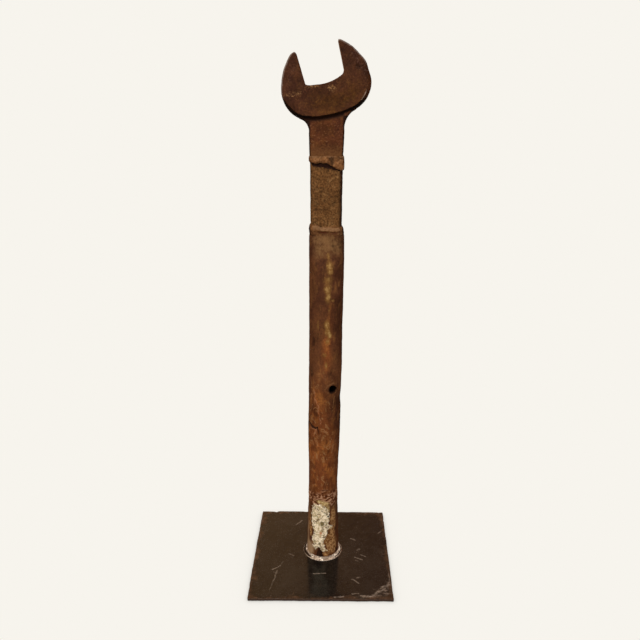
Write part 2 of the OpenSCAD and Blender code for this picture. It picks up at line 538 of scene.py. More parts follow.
def lay_crust(rust, granules):
    """The crust, with a painted highlight on its ridges and painted shade in its hollows, and the
    grainy rust below it.
    """
    height = rust.attribute("relief")
    crusted = rust.level(rust.attribute("crust"), 0.2, 0.8)
    # Painted highlight on the crust's ridges and painted shade in its hollows, by the relief.
    folds = rust.ramp(height, -0.15, 0.6, (0.150, 0.050, 0.017), (0.43, 0.235, 0.140))
    folds = rust.ramp(height, -0.05, -0.6, folds, (0.058, 0.016, 0.006))
    rust.lay(rust.times(crusted, 0.92), folds)
    grains = rust.ramp(granules, 0.42, 0.60, (0.150, 0.060, 0.019), (0.47, 0.255, 0.105))
    rust.patch("grains", grains, 1.6, 0.25, 0.75, rust.blotches)
    gilt = rust.ramp(granules, 0.40, 0.58, (0.235, 0.135, 0.040), (0.60, 0.43, 0.20))
    rust.patch("gold", gilt, 1.6, 0.25, 0.95, rust.blotches)


def lay_paint(rust, granules):
    """Old cream paint with olive holes, brown cracks and a few red stains. The answer is
    1 where there is paint."""
    coarse = rust.noise(5.0, 5.0, 0.68, warp=0.6)
    flakes = rust.frayed(rust.attribute("paint"), coarse, 4.0, -0.14, 0.14)
    tone = rust.noise(3.6, 4.0, 0.65, warp=0.7)
    coat = rust.ramp(tone, 0.40, 0.56, (0.52, 0.385, 0.205), (0.97, 0.84, 0.64))
    olive = rust.level(rust.noise(4.4, 4.0, 0.65, warp=0.5), 0.53, 0.64)
    coat = rust.blend(rust.times(olive, 0.7), coat, (0.36, 0.285, 0.135))
    cracks = rust.contours(rust.noise(9.0, 3.0, 0.6, warp=0.8), 4.0, 0.55, 1.0)
    cracks = rust.times(cracks, rust.level(rust.noise(5.0, 3.0), 0.40, 0.58))
    coat = rust.blend(cracks, coat, (0.19, 0.12, 0.055))
    holes = rust.frayed(rust.attribute("holes"), tone, 2.6, 0.5, 0.9)
    coat = rust.blend(holes, coat, (0.19, 0.14, 0.062))
    stains = rust.frayed(rust.attribute("stains"), granules, 3.0, 0.35, 1.1)
    rust.lay(flakes, rust.blend(stains, coat, (0.52, 0.22, 0.095)))
    return flakes


def pipe_material():
    dark, mid, light = (0.070, 0.0245, 0.0115), (0.105, 0.0385, 0.0150), (0.134, 0.0560, 0.0205)
    rust = Rust(
        "pipe_rust", 0.05, dark, mid, light, broad=16,
        contrast=0.21, stretch=(1, 1, 2.6), fine=0.52, swirl=0.2,
    )
    rust.tint("warm", (2.00, 1.68, 1.16), 1.2, 0.0, 1.1)
    # Darker and a little purple in places.
    rust.tint("dimmed", (0.58, 0.55, 0.62), 1.2, 0.1, 1.1)
    granules = rust.noise(2.4, 4.0, 0.65, warp=0.6)
    lay_streaks(rust)
    lay_crust(rust, granules)
    flakes = lay_paint(rust, granules)
    # Dark marks and painted shade: at the pipe's foot, in the notch and over the bore.
    rust.patch("dark", (0.020, 0.009, 0.006), 1.3, 0.35, 0.85)
    fine = rust.bump(rust.grit, 0.30, 0.5)
    normal = rust.bump(flakes, 0.25, 0.8, fine)
    roughness = rust.math("MULTIPLY_ADD", rust.blotches, -0.35, 0.88)
    return rust.end(roughness, normal)


def bar_material():
    dark, mid, light = (0.122, 0.053, 0.0178), (0.138, 0.062, 0.0210), (0.185, 0.095, 0.036)
    rust = Rust("bar_rust", 0.04, dark, mid, light, broad=12, contrast=0.52)
    # Painted shadow under the weld band and painted shade on the bar's rounded sides.
    rust.patch("dark", (0.018, 0.007, 0.005), 2.2, 0.3, 1.1)
    return rust.finish(0.9, 0.25, 0.45, 0.8)


def head_material():
    dark, mid, light = (0.064, 0.0215, 0.0105), (0.086, 0.0300, 0.0118), (0.116, 0.0450, 0.0165)
    rust = Rust("forged_rust", 0.06, dark, mid, light, broad=20, contrast=0.24)
    rust.tint("olive", (1.06, 1.13, 0.68))
    rust.tint("neck", (1.10, 0.98, 0.88))
    rust.patch("neck", (0.20, 0.105, 0.050), 3.0, 1.2, 1.75)
    rust.patch("foot", (0.134, 0.057, 0.0195), 2.4, 0.0, 1.4)
    # Painted shade on the parts that face down, under the head and on the neck's corners.
    rust.patch("dark", (0.007, 0.0035, 0.003), 0.5, 0.0, 1.05, rust.blotches)
    # Painted highlight on the rounded edges and the jaw tips.
    rust.patch("edge", (0.190, 0.142, 0.120), 1.6, 0.2, 1.0)
    # A painted highlight line inside the lower right edge.
    rust.patch("glint", (0.34, 0.235, 0.175), 1.6, 0.3, 0.9)
    flecks = rust.noise(1.7, 4.0, 0.65, warp=0.6)
    rust.patch("ochre", (0.27, 0.140, 0.056), 3.4, 0.58, 1.4, flecks)
    rust.patch("grey", (0.150, 0.088, 0.072), 2.6, 0.4, 1.5, flecks)
    return rust.finish(0.78, 0.4, 0.25, 0.5)


def weld_material():
    dark, mid, light = (0.092, 0.036, 0.0130), (0.138, 0.058, 0.0205), (0.200, 0.098, 0.042)
    rust = Rust("old_weld", 0.05, dark, mid, light, broad=7, contrast=0.32)
    # Lighter along crests; on the butt weld's top rim and lumps a painted highlight.
    rust.patch("edge", (0.235, 0.130, 0.064), 1.6, 0.35, 1.3)
    rust.patch("seam", (0.080, 0.020, 0.007), 1.2, 0.3, 0.9)
    # Painted shade on narrow sides, along lower edges and in dips.
    rust.patch("dark", (0.012, 0.005, 0.005), 1.4, 0.35, 0.9)
    return rust.finish(0.85, 0.3, 0.35)


def bead_material():
    dark, mid, light = (0.180, 0.122, 0.086), (0.42, 0.325, 0.250), (0.98, 0.87, 0.73)
    rust = Rust("bright_weld", 0.18, dark, mid, light, broad=3.0, contrast=0.48)
    rust.patch("brown", (0.125, 0.048, 0.022), 2.0, 0.5, 1.1, rust.blotches)
    # Painted shade in crevices and at the weld's foot.
    rust.patch("dark", (0.010, 0.006, 0.005), 0.9, 0.35, 0.8)
    return rust.finish(0.55, 0.35, 0.25)


def scratch(paint, place, start, end, width):
    """1 along a scratch on the plate's top, 0 away from it."""
    start = np.array([start[0], start[1], 0.0]) * MM
    way = np.array([end[0], end[1], 0.0]) * MM - start
    out = paint.vector("SUBTRACT", place, tuple(start)).outputs[0]
    part = paint.vector("DOT_PRODUCT", out, tuple(way / (way @ way))).outputs["Value"]
    part = paint.math("MINIMUM", paint.math("MAXIMUM", part, 0.0), 1.0)
    gap = paint.vector("SUBTRACT", out, paint.scaled(tuple(way), part)).outputs[0]
    length = paint.vector("LENGTH", gap).outputs["Value"]
    fade = paint.math("MULTIPLY_ADD", length, -1 / (width * MM), 1.0, clamp=True)
    return paint.times(fade, paint.level(part, 0.0, 0.12))


# Scratches on the plate: start, end, width and strength, round the plate's centre.
SCRATCHES = [
    [(-10, -37), (5, -36.5), 0.8, 0.9], [(-55, -32.5), (-45.5, -25.5), 0.8, 0.7],
    [(-48, -31), (-51, -49), 0.9, 0.45], [(-51, -49), (-54, -63), 0.7, 0.25],
    [(-42, -17), (-46, -26), 0.6, 0.25], [(-46, -37), (-52, -35), 0.6, 0.25],
    [(-38, -4), (-31, -8), 0.7, 0.4], [(-32, 47), (-24, 57), 0.9, 0.6],
    [(74, -34), (74, -48), 0.7, 0.4], [(74, -48), (69, -55.5), 0.9, 0.5],
    [(64, -56), (73, -53), 1.0, 0.7], [(58, -66.5), (68, -58), 0.9, 0.6],
    [(50, -73), (66, -59), 0.7, 0.45], [(56, -66), (64, -61.5), 0.9, 0.7],
    [(32, -67), (40, -66.5), 1.0, 0.6], [(41, -70), (52.5, -70.5), 1.1, 0.9],
    [(13, -73), (24, -71), 1.0, 0.9], [(33.5, 24), (39, 20.5), 1.1, 0.5],
    [(41, 1), (43.5, 5), 1.4, 0.4], [(37, -10), (46, -13.5), 1.0, 0.6],
    [(43.5, -5), (50, -8), 0.9, 0.6], [(38, -15), (41, -16), 1.0, 0.4],
    [(32, -44.5), (40.5, -51.5), 0.9, 0.7], [(37.5, -44), (42, -42), 1.1, 0.5],
    [(66, 33), (71, 38), 0.9, 0.5],
]


def lay_scratches(paint):
    """Lays the scratches on the plate. The answer is 1 along them."""
    # They are measured in the plate's own plane, at places that wander a little.
    middle = tuple((PLATE_MIDDLE * MM).tolist())
    place = paint.vector("SUBTRACT", paint.place, middle).outputs[0]
    place = paint.vector("MULTIPLY", place, (1.0, 1.0, 0.0)).outputs[0]
    wander = paint.make("ShaderNodeTexNoise", {"Vector": place, "Scale": 130.0, "Detail": 3.0})
    wander = paint.vector("SUBTRACT", wander.outputs["Color"], (0.5, 0.5, 0.5)).outputs[0]
    wander = paint.vector("MULTIPLY", wander, (0.0035, 0.0035, 0.0)).outputs[0]
    place = paint.vector("ADD", place, wander).outputs[0]
    marks = 0.0
    for start, end, width, strength in SCRATCHES:
        mark = paint.times(scratch(paint, place, start, end, 1.25 * width), strength)
        marks = paint.math("MAXIMUM", marks, mark)
    marks = paint.times(marks, paint.level(paint.noise(2.0, 3.0), 0.3, 0.55))
    paint.lay(marks, (0.27, 0.205, 0.160))
    return marks


def plate_material():
    paint = Paint("plate_steel", 0.22)
    clouds = paint.noise(48, 4.0, 0.6, warp=0.5)
    blotches = paint.noise(8, 5.0, 0.65, warp=0.5)
    grit = paint.noise(1.6, 3.0, 0.7)
    dark, mid, light = (0.0112, 0.0090, 0.0074), (0.0138, 0.0106, 0.0082), (0.019, 0.0140, 0.0105)
    paint.colour = paint.ramp(clouds, 0.36, 0.64, dark, mid)
    paint.lay(paint.level(blotches, 0.5, 0.75), light)
    paint.shade(grit, 0.3, 0.7, 0.25)
    rim = paint.attribute("rim")
    paint.lay(paint.frayed(rim, blotches, 2.4, 0.4, 1.3), (0.062, 0.031, 0.015))
    paint.lay(paint.frayed(rim, grit, 3.0, 1.05, 1.4), (0.115, 0.062, 0.038))
    streaks = paint.noise(3.0, 5.0, 0.7, (1.6, 0.8, 1))
    smears = paint.frayed(paint.attribute("smear"), streaks, 3.2, 0.6, 1.2)
    paint.lay(smears, (0.16, 0.115, 0.085))
    # Painted shade and highlight: darker where the relief is low, lighter where it is high.
    paint.shade(paint.attribute("relief"), -1.0, 1.0, 0.4)
    # Painted light: the sides are painted lighter, to make up for the little light that reaches them.
    paint.lay(paint.attribute("side"), paint.shaded((0.050, 0.031, 0.022), grit, 0.5))
    marks = lay_scratches(paint)
    normal = paint.bump(grit, 0.05, 0.35)
    normal = paint.bump(marks, 0.15, 0.4, normal)
    roughness = paint.math("MULTIPLY_ADD", paint.level(blotches, 0.4, 0.75), 0.09, 0.13)
    roughness = paint.math("MULTIPLY_ADD", rim, 0.3, roughness)
    return paint.end(roughness, normal)


# ---------------------------------------------------------------- base plate

PLATE_SIDE_ROWS = [  # [inset from the outline, height as a part of the thickness]
    (0.20, 0.955), (0.02, 0.87), (0.0, 0.7), (0.0, 0.5), (0.0, 0.3), (0.02, 0.13), (0.15, 0.04),
]
# The top's flat grid ends this far inside the plate's sides.
PLATE_INSET = 0.6
# Radius of each corner, by its sides: right or left, back or front.
PLATE_CORNERS = [(1, 1, 1.0), (-1, 1, 1.0), (-1, -1, 0.6), (1, -1, 0.8)]
# Rubbed places on the plate: [x, y, half width, half depth, strength].
SMEARS = [
    (66, -62, 11, 9, 0.9), (72, -48, 4, 8, 0.6), (48, -71, 18, 3.5, 0.8), (-50, -71, 22, 3, 0.45),
    (41, -2, 7, 9, 0.3), (37, -45, 6, 6, 0.25), (41, -28, 3, 3, 0.4), (30, 18, 6, 5, 0.2),
    (20, -66, 12, 5, 0.25),
]


def plate_outline_shift(points):
    """How far the worn outline lies inside the square, for its x sides and y sides."""
    flat = points * np.array([1, 1, 0.15])
    wear = 0.06 + 0.22 * fbm(flat, 20, 11) + 0.20 * fbm(flat, 6, 12) + 0.10 * fbm(flat, 1.6, 13)
    x, y = points[:, 0], points[:, 1]
    right = 1.1 * soft(y - 60, 1.3) + 0.5 * soft(y - 30, 2.0)
    left = glide(y, [-40, 76], [0.0, 1.3])
    nick = 1.7 * soft(x + 57, 1.8) + 0.7 * step(x, -56, -60)
    nick += 0.6 * soft(x + 20, 3.0) + 0.5 * soft(x - 71, 1.5)
    front = glide(x, [-76, -30, 76], [0.0, 0.6, 1.5])
    across = wear + np.where(x > 0, right, left)
    along = wear + np.where(y > 0, nick, front)
    return np.clip(across, 0, 4), np.clip(along, 0, 4)


def plate_slab(count):
    """Points and faces of a flat slab: a grid of count by count points on the top and on
    the underside, and rows of points down the sides."""
    line = np.linspace(-1, 1, count)
    s, t = np.meshgrid(line, line, indexing="xy")
    index = np.arange(count * count).reshape(count, count)
    corners = [index[:-1, :-1], index[:-1, 1:], index[1:, 1:], index[1:, :-1]]
    quads = np.stack(corners, axis=-1).reshape(-1, 4)
    loop = np.concatenate([index[0, :-1], index[:-1, -1], index[-1, :0:-1], index[:0:-1, 0]])
    flat = np.stack([s.ravel(), t.ravel()], axis=1)
    outward = np.sign(np.where(np.abs(flat[loop]) > 0.9999, flat[loop], 0))

    top = ring_at(flat * (PLATE_HALF - PLATE_INSET), PLATE_T)
    bottom = ring_at(flat * (PLATE_HALF - PLATE_INSET), 0)
    rows = []
    for inset, height in PLATE_SIDE_ROWS:
        rows.append(ring_at(top[loop, :2] + outward * (PLATE_INSET - inset), height * PLATE_T))

    area = count * count
    faces = quads.tolist() + (quads[:, ::-1] + area).tolist()
    starts = [loop] + [2 * area + k * len(loop) + np.arange(len(loop)) for k in range(len(rows))]
    starts.append(loop + area)
    for upper, lower in zip(starts[:-1], starts[1:]):
        strip = [lower, np.roll(lower, -1), np.roll(upper, -1), upper]
        faces += np.stack(strip, axis=-1).tolist()
    return np.vstack([top, bottom] + rows), faces


def round_corners(points):
    """Draws the points near the slab's corners in, so that the corners are round."""
    for sx, sy, radius in PLATE_CORNERS:
        sides = np.array([sx, sy])
        centre = (PLATE_HALF - radius) * sides
        out = (points[:, :2] - centre) * sides
        near = (out > 0).all(axis=1)
        squarely = out.max(axis=1)[near]
        scale = squarely / np.maximum(np.linalg.norm(out[near], axis=1), 1e-9)
        points[near, :2] = centre + out[near] * scale[:, None] * sides


def build_plate():
    points, faces = plate_slab(176)
    round_corners(points)
    shifts = np.column_stack(plate_outline_shift(points))
    edge_gap = PLATE_HALF - np.abs(points[:, :2])
    points[:, :2] -= np.sign(points[:, :2]) * shifts * step(edge_gap, 7, 0)

    on_top = points[:, 2] > PLATE_T - 0.01
    edge = edge_gap.min(axis=1)
    rim = step(edge + 4 * fbm(points, 14, 21), 11, 0)
    relief = 0.10 * fbm(points, 30, 22) + 0.05 * fbm(points, 4, 23)
    relief -= 0.18 * pits(points, 5.5, 24, 0.25, 0.3) * (0.3 + rim)
    relief += rim * (0.10 * fbm(points, 5, 25) - 0.10)
    # Runs of scale that lie a little higher than the bare steel.
    relief += 0.06 * step(fbm(points, 18, 26), 0.12, 0.2)
    points[:, 2] += np.where(on_top, np.minimum(relief, 0), 0)
    # Rough sides, between the top and the underside.
    middle = (points[:, 2] > 0.01) & ~on_top
    grain = 0.12 * noise(points * np.array([1, 1, 0.2]), 1.0, 27) + 0.12 * fbm(points, 2.2, 28)
    for axis in (0, 1):
        inward = np.sign(points[:, axis]) * (grain + 0.2)
        points[:, axis] -= np.where(middle & (edge_gap[:, axis] < 0.7), inward, 0)

    origin = np.array([PLATE_MIDDLE[0], PLATE_MIDDLE[1], plate_low[2]])
    obj = new_piece("base_plate_worn", points, faces, origin)
    store(
        obj,
        relief=np.clip(relief * 6 + 0.4 * fbm(points, 3, 29), -1, 1),
        rim=rim,
        smear=spots(points[:, 0], points[:, 1], SMEARS),
        # Where the sides' painted light goes.
        side=np.where(on_top, 0.0, 1.0),
    )
    finish_piece(obj, "base_plate", plate_material())


# ---------------------------------------------------------------- pipe handle

# Heights up the pipe, and there how far its middle lies right of the post's axis, and
# its width.
PIPE_STATIONS = [0, 15, 53, 66, 92, 117, 141, 165, 200, 250, 340, 368]
PIPE_SHIFT = [-1.1, -1.1, -1.1, -1.1, -1.2, -0.8, -0.55, -0.3, 0.05, 0.55, 0.85, 0.8]
PIPE_WIDTH = [34.9, 35.3, 33.6, 32.2, 31.2, 32.2, 33.4, 34.1, 33.8, 33.9, 34.4, 34.4]

# Chipped paint on the pipe's front: outline as [across the front, height].
PAINT_OUTLINE = [
    (-12, 72), (-7, 70.5), (-3, 70), (3, 68), (6, 66), (7, 60), (7, 50), (8, 44), (12.5, 42),
    (7.5, 38), (5.5, 33), (2.5, 26), (1, 20), (3, 13), (5, 10.5), (0, 9), (-3, 14), (-5, 17.5),
    (-8, 11), (-10.5, 13), (-11.5, 19), (-13.2, 25.5), (-10.5, 31), (-10.5, 37), (-13.2, 42),
    (-14.6, 49), (-14.1, 56), (-12.6, 66),
]
CRACK = [(-24, 164), (-19, 165), (-15, 164.4), (-11, 162.6), (-8, 163.2), (-6.2, 161), (-6.6, 157)]
# Raised pale lines: path, width and strength.
PALE_LINES = [
    ([(-16.5, 161.9), (-12, 162), (-8.6, 161), (-10.6, 156.2)], 1.0, 0.9),
    ([(-12, 206), (-10, 195), (-6.5, 188), (-5.2, 177), (-3.8, 172.9), (-3.5, 169)], 1.0, 0.85),
    ([(-0.5, 159.5), (3.7, 158.5)], 1.1, 0.7),
    ([(8.5, 174), (7.1, 169.4), (5.4, 163)], 0.9, 0.4),
    ([(-8, 141), (-4, 142), (-1, 140)], 0.8, 0.4),
]
# Notch at the pipe's foot, painted dark partly as burned metal and partly as the shade of the opening
# that the real notch has: outline as [right of the axis, height].
NOTCH_DEPTH = 1.3
NOTCH = [
    (-8.2, -2), (-8.0, 3), (-7.2, 7), (-6.2, 11), (-5.2, 16), (-4.3, 12), (-3.6, 9.5), (-2.6, 11),
    (-1.6, 8.5), (-0.8, 4), (-0.6, -2),
]


def pipe_across(points):
    """Arc from the pipe's front, to the right."""
    return np.arctan2(points[:, 0] - pipe_middle(points[:, 2]), -points[:, 1]) * PIPE_R


def pipe_middle(up):
    """How far the pipe's axis lies right of the post's at a height."""
    return glide(up, PIPE_STATIONS, PIPE_SHIFT)


def paint_field(across, up, points):
    return inside(np.stack([across, up], axis=1), PAINT_OUTLINE) / 3 + 0.25 * fbm(points, 4, 41)


def wandering_gap(across, up, path):
    """Distance on the pipe's outside from a line that wanders a little."""
    place = np.stack([across, up, 0 * up], axis=1)
    shift = 1.4 * np.stack([fbm(place, 3.5, 38, 3), fbm(place, 3.5, 39, 3)], axis=1)
    return line_gap(place[:, :2] + shift, path)


def pale_lines(across, up):
    """1 along the raised pale lines, which are broken in places, 0 away from them."""
    total = np.zeros(len(across))
    for path, width, strength in PALE_LINES:
        total = np.maximum(total, strength * soft(wandering_gap(across, up, path), width))
    place = np.stack([across, up, 0 * up], axis=1)
    return total * np.clip(0.9 + 0.6 * fbm(place, 3, 37, 3), 0.2, 1)


def pipe_relief(points, across, up):
    """Height of rust, paint, dents and pits over the pipe's smooth outside, and where
    its crust is."""
    waves = [(0.22, 45, 42, 2), (0.14, 12, 43, 3), (0.08, 3.5, 44, 3)]
    relief = uneven(points, waves, [(0.24, 5, 45, 0.25, 0.28), (0.12, 2.6, 46, 0.25, 0.3)])
    # A crusty ring of rust above the paint, in folds.
    crust = step(up + 3 * fbm(points, 9, 47), 66, 72) * step(up + 4 * fbm(points, 9, 48), 92, 80)
    crust *= step(np.abs(across), 34, 24)
    folds = np.sin(9 * fbm(points * np.array([1, 1, 1.6]), 8, 49, 3))
    relief += crust * (0.30 * folds + 0.26 * fbm(points, 2.6, 40, 3))
    # Paint, in flakes that stand a little proud.
    relief += 0.16 * step(paint_field(across, up, points), -0.05, 0.1)
    # The notch is a hollow in the wall, painted dark partly as burned metal and partly as shade.
    notch = inside(np.stack([points[:, 0], up], axis=1), NOTCH)
    relief -= NOTCH_DEPTH * step(notch, -0.3, 0.9) * (points[:, 1] < 0)
    # The crack, with a raised lower edge.
    relief -= 0.9 * soft(wandering_gap(across, up, CRACK), 0.9 + 0.5 * fbm(points, 3, 50))
    relief += 0.45 * pale_lines(across, up)
    # A shallow dent at the right and a dished place round the hole.
    relief -= spots(across, up, [(25, 194, 7, 6, 0.7)])
    relief -= 0.45 * soft(np.hypot(across - HOLE[0], up - HOLE[1]), 4.6)
    return relief, crust


def pipe_outside(cols, count):
    """Rings up the outside, with its rust, crack and dents."""
    rows = []
    for z in np.linspace(0, PIPE_LEN, count):
        part = step(z, TAPER_START, MOUTH_START)
        width = float(glide(z, PIPE_STATIONS, PIPE_WIDTH))
        width -= 1.6 * float(step(z, PIPE_LEN - 4, PIPE_LEN))
        depth = 2 * PIPE_R + (MOUTH_D - 2 * PIPE_R) * part
        if part == 0:
            # Below the taper, an ellipse: a round ring, stretched to the width.
            outline = ring(depth, depth, depth / 2, cols) * np.array([width / depth, 1])
        else:
            corner = min(depth, width) / 2 * (1 - part) + MOUTH_R * part
            outline = ring(width, depth, corner, cols)
        rows.append(ring_at(outline + np.array([float(pipe_middle(z)), 0]), z))
    outer = np.array(rows)

    around = np.roll(outer, -1, axis=1) - np.roll(outer, 1, axis=1)
    normal = np.stack([around[..., 1], -around[..., 0], np.zeros(around.shape[:2])], axis=-1)
    normal /= np.linalg.norm(normal, axis=2, keepdims=True)
    flat = outer.reshape(-1, 3)
    relief, _ = pipe_relief(flat, pipe_across(flat), flat[:, 2])
    outer += normal * relief.reshape(outer.shape[:2])[..., None]
    # The hammered mouth is uneven from front to back.
    mouth = step(outer[..., 2], TAPER_START, MOUTH_START)
    wave = fbm(outer.reshape(-1, 3), 9, 51).reshape(outer.shape[:2])
    outer[..., 1] += 0.35 * mouth * wave
    return outer


def pipe_inside(cols):
    """Rings down the inside: the bar's pocket in the mouth, then the round bore."""
    heights = [np.linspace(PIPE_LEN, TAPER_START, 14), np.linspace(TAPER_START - 8, 0, 60)]
    rows = []
    for z in np.concatenate(heights):
        part = step(z, TAPER_START, MOUTH_START)
        width = 2 * BORE_R + (BAR_W - 2 * BORE_R) * part
        depth = 2 * BORE_R + (BAR_T - 2 * BORE_R) * part
        outline = ring(width, depth, depth / 2 * (1 - part) + POCKET_R * part, cols)
        rows.append(ring_at(outline + np.array([float(pipe_middle(z)) * (1 - part), 0]), z))
    return np.array(rows)


def build_pipe():
    cols = 176
    obj = band_piece("handle_pipe", np.concatenate([pipe_outside(cols, 440), pipe_inside(cols)]))

    turn = np.linspace(0, 2 * np.pi, 40, endpoint=False)
    wobble = 1 + 0.06 * np.sin(2 * turn - 1.6) + 0.08 * np.sin(3 * turn + 2) + 0.06 * np.sin(7 * turn)
    rim = HOLE_R * wobble[:, None] * np.stack([1.06 * np.cos(turn), np.sin(turn)], axis=1)
    cut_through(obj, rim + np.array(HOLE))

    points = read_points(obj, POST)
    across = pipe_across(points)
    up = points[:, 2]
    # Above the taper's start, the inside is hidden by the bar and counts as outside.
    outside = np.hypot(points[:, 0] - pipe_middle(up), points[:, 1]) > BORE_R + 0.9
    outside |= up > TAPER_START
    relief, crust = pipe_relief(points, across, up)
    store(obj, **pipe_colours(points, across, up, relief, crust, outside))
    obj.data.set_sharp_from_angle(angle=math.radians(55))
    finish_piece(obj, "handle_tube", pipe_material())


def cut_through(obj, outline):
    """Cuts an outline of [right, up] through the pipe's front wall."""
    front, back = -PIPE_R - 6, -5
    count = len(outline)
    points = np.vstack([np.insert(outline, 1, y, axis=1) for y in (front, back)])
    faces = loft_quads(2, count, False).tolist()
    faces += [list(range(count)), list(range(2 * count - 1, count - 1, -1))]
    cutter = new_piece("cutter", points, faces, POST)
    cutter.data.validate()
    carve(obj, cutter)
    merge_close(obj)


# Coloured places on the pipe: [across, up, half width, half height, strength].
PALE_SPOTS = [
    (-12.5, 79, 4, 3, 0.9), (-11.5, 192, 1.2, 5, 0.6), (-14, 370, 3, 3, 0.6), (-9, 359, 3, 4, 0.5),
    (2, 356, 2, 3, 0.5),
]
DARK_SPOTS = [
    (6, 54.8, 1.1, 1.1, 1.6), (12.6, 43.4, 1.8, 1.1, 0.9), (9.6, 42.0, 1.6, 0.9, 0.8),
    (4.5, 30, 0.9, 1.2, 0.7), (-15, 40, 1.5, 2.5, 0.5), (-13, 28, 1.0, 1.2, 0.6),
    (18, 6, 3, 5, 0.8), (9, 198, 2, 1.2, 0.5), (-6.5, 157, 1.4, 3, 0.45), (-9, 155, 1.2, 2.5, 0.6),
    (-1, 114.5, 2.0, 2.0, 0.5), (2, 88.5, 7, 1.0, 0.8), (10.5, 70, 2.5, 2, 0.5),
]
PIPE_SPOTS = {
    # Ochre streaks, partly rust and partly a painted highlight down the pipe's front.
    "ochre": [
        (2.5, 347, 2.8, 3, 0.7), (3.2, 338, 4.0, 5, 0.9), (4, 332, 2.6, 3, 0.85),
        (1.5, 324, 5.0, 4, 0.75), (1.5, 315, 4.0, 5, 0.85), (1.8, 306, 2.8, 5, 1.0),
        (0, 142, 8, 22, 0.25), (7, 303, 1.8, 1.5, 0.6), (0.8, 278, 2.6, 5, 1.1),
        (2.5, 270, 3.0, 5, 0.9), (4.5, 266, 1.6, 2, 1.3), (2, 260, 2.2, 3, 0.9),
        (-1, 246, 2.4, 3, 0.8), (0.7, 235, 1.6, 4, 0.9), (-1.5, 227, 1.2, 2, 0.5),
        (-8, 277, 1.0, 5, 0.8), (-6.5, 266, 0.8, 4, 0.4), (3, 292, 1.5, 5, 0.4),
    ],
    "warm": [
        (1, 248, 5, 20, 1.1), (-10, 200, 7, 12, 0.4), (-6, 135, 15, 60, 1.5),
        (14, 110, 12, 45, 0.5), (5, 285, 5, 24, 0.4),
    ],
    # Places that are darker and a little purple.
    "dimmed": [
        (-14, 325, 8, 45, 0.35), (0, 291, 11, 5, 0.6), (16, 250, 7, 34, 0.6),
        (-14, 245, 8, 40, 0.6), (9, 128, 3, 6, 0.4),
    ],
    "dust": [
        (-6, 363, 10, 5, 1.0), (0, 354, 9, 7, 1.0), (8, 361, 6, 7, 0.6), (-11, 352, 4, 8, 0.7),
        (14, 354, 4, 7, 0.6),
    ],
    "gold": [
        (-4, 74, 6, 2.5, 0.9), (3, 71, 6, 3.0, 1.0), (6, 63, 3, 5, 0.8), (9, 50, 3, 7, 0.4),
        (1, 65, 4, 3, 0.7),
    ],
    "tan": [
        (-19, 8, 6, 12, 1.1), (-15, 10, 4, 8, 1.0), (-20, 35, 3.5, 16, 0.8), (-20, 62, 3, 12, 0.6),
        (19, 60, 3, 20, 0.5), (-3, 2, 6, 3, 0.5),
    ],
    "grains": [
        (9, 24, 7, 9, 1.1), (13, 59, 4, 9, 1.0), (-17, 50, 3, 14, 0.7), (12, 12, 7, 7, 0.9),
        (11, 36, 4, 6, 0.7), (12.5, 47, 4, 8, 1.0), (-15, 34, 3, 9, 0.9), (3, 5, 4, 3, 0.7),
    ],
    "holes": [
        (-1, 46, 2.6, 3.2, 1.2), (-9, 64, 1.4, 2.0, 1.0), (-9, 58, 1.6, 1.8, 0.9),
        (-5.5, 53, 1.8, 2.6, 0.8), (-7, 46, 1.4, 3.4, 0.8), (4, 45, 1.4, 2.4, 0.8),
        (4, 58, 2.0, 3.0, 0.7), (-1, 62, 2.0, 2.0, 0.6), (-9, 21, 1.8, 4.4, 0.9),
        (-3, 19, 3.0, 4.0, 0.7), (-13, 34, 2.0, 2.4, 1.0),
    ],
    "stains": [
        (-2.3, 33, 1.8, 2.6, 1.1), (-3, 29, 1.5, 1.5, 0.7), (-10, 30, 1.5, 2.0, 0.5),
    ],
}


def pipe_colours(points, across, up, relief, crust, outside):
    """The numbers on the pipe's points that its material reads."""
    hole = np.hypot(across - HOLE[0], up - HOLE[1])
    notch = inside(np.stack([points[:, 0], up], axis=1), NOTCH)
    front = points[:, 1] < 0
    # The notch is painted dark: partly burned metal, partly painted shade.
    notch_burn_and_shade = 0.60 * step(notch, -2.2, 0.2) + 0.45 * step(notch, -0.3, 0.8) * step(points[:, 0], -5, -3)
    crack = soft(wandering_gap(across, up, CRACK), 1.0 + 0.6 * fbm(points, 3, 50))
    # Darker spots, darker round the hole's rim and along the crack; painted shade at the pipe's foot
    # under the weld; the notch partly burned and partly painted shade.
    dark = np.maximum.reduce([
        spots(across, up, DARK_SPOTS),
        0.9 * soft(hole - 3.7, 1.3) * front,
        notch_burn_and_shade * front,
        crack * glide(across, [-16, -8, -5], [1.2, 0.9, 0.6]),
        0.9 * step(up, 2.0, 0.4),
    ])
    veins = glide(up, [105, 200, 240], [1.0, 0.8, 0.0]) * step(across, 17, 9) * (up > 84)
    values = {name: spots(across, up, table) * outside for name, table in PIPE_SPOTS.items()}
    values["pale"] = np.maximum(spots(across, up, PALE_SPOTS), pale_lines(across, up)) * outside
    values["relief"] = np.clip(relief * 2.2, -1, 1)
    values["crust"] = crust * outside
    values["veins"] = veins * outside
    # Inside the bore the colour is dark all over, as painted shade.
    values["dark"] = np.where(outside, np.clip(dark, 0, 1.2), 1.0)
    values["paint"] = np.where(outside, paint_field(across, up, points), -3)
    return values


# ---------------------------------------------------------------- extension bar

WELD_EDGE_X = [-16, -12.5, -5, 1, 5.4, 10.4, 14, 17]


def weld_low(x):
    """Height of the butt weld's lower edge, which falls towards the right."""
    return JOINT_H + np.interp(x, WELD_EDGE_X, [0.4, -2.2, -1.2, -2.4, -4.4, -5.6, -7.0, -7.0])


def shadow_low(x):
    """Height of the foot of the hollow below that edge, which is painted dark as shadow."""
    return JOINT_H + np.interp(x, WELD_EDGE_X, [-0.6, -3.8, -5.2, -6.0, -6.6, -7.2, -8.4, -8.0])


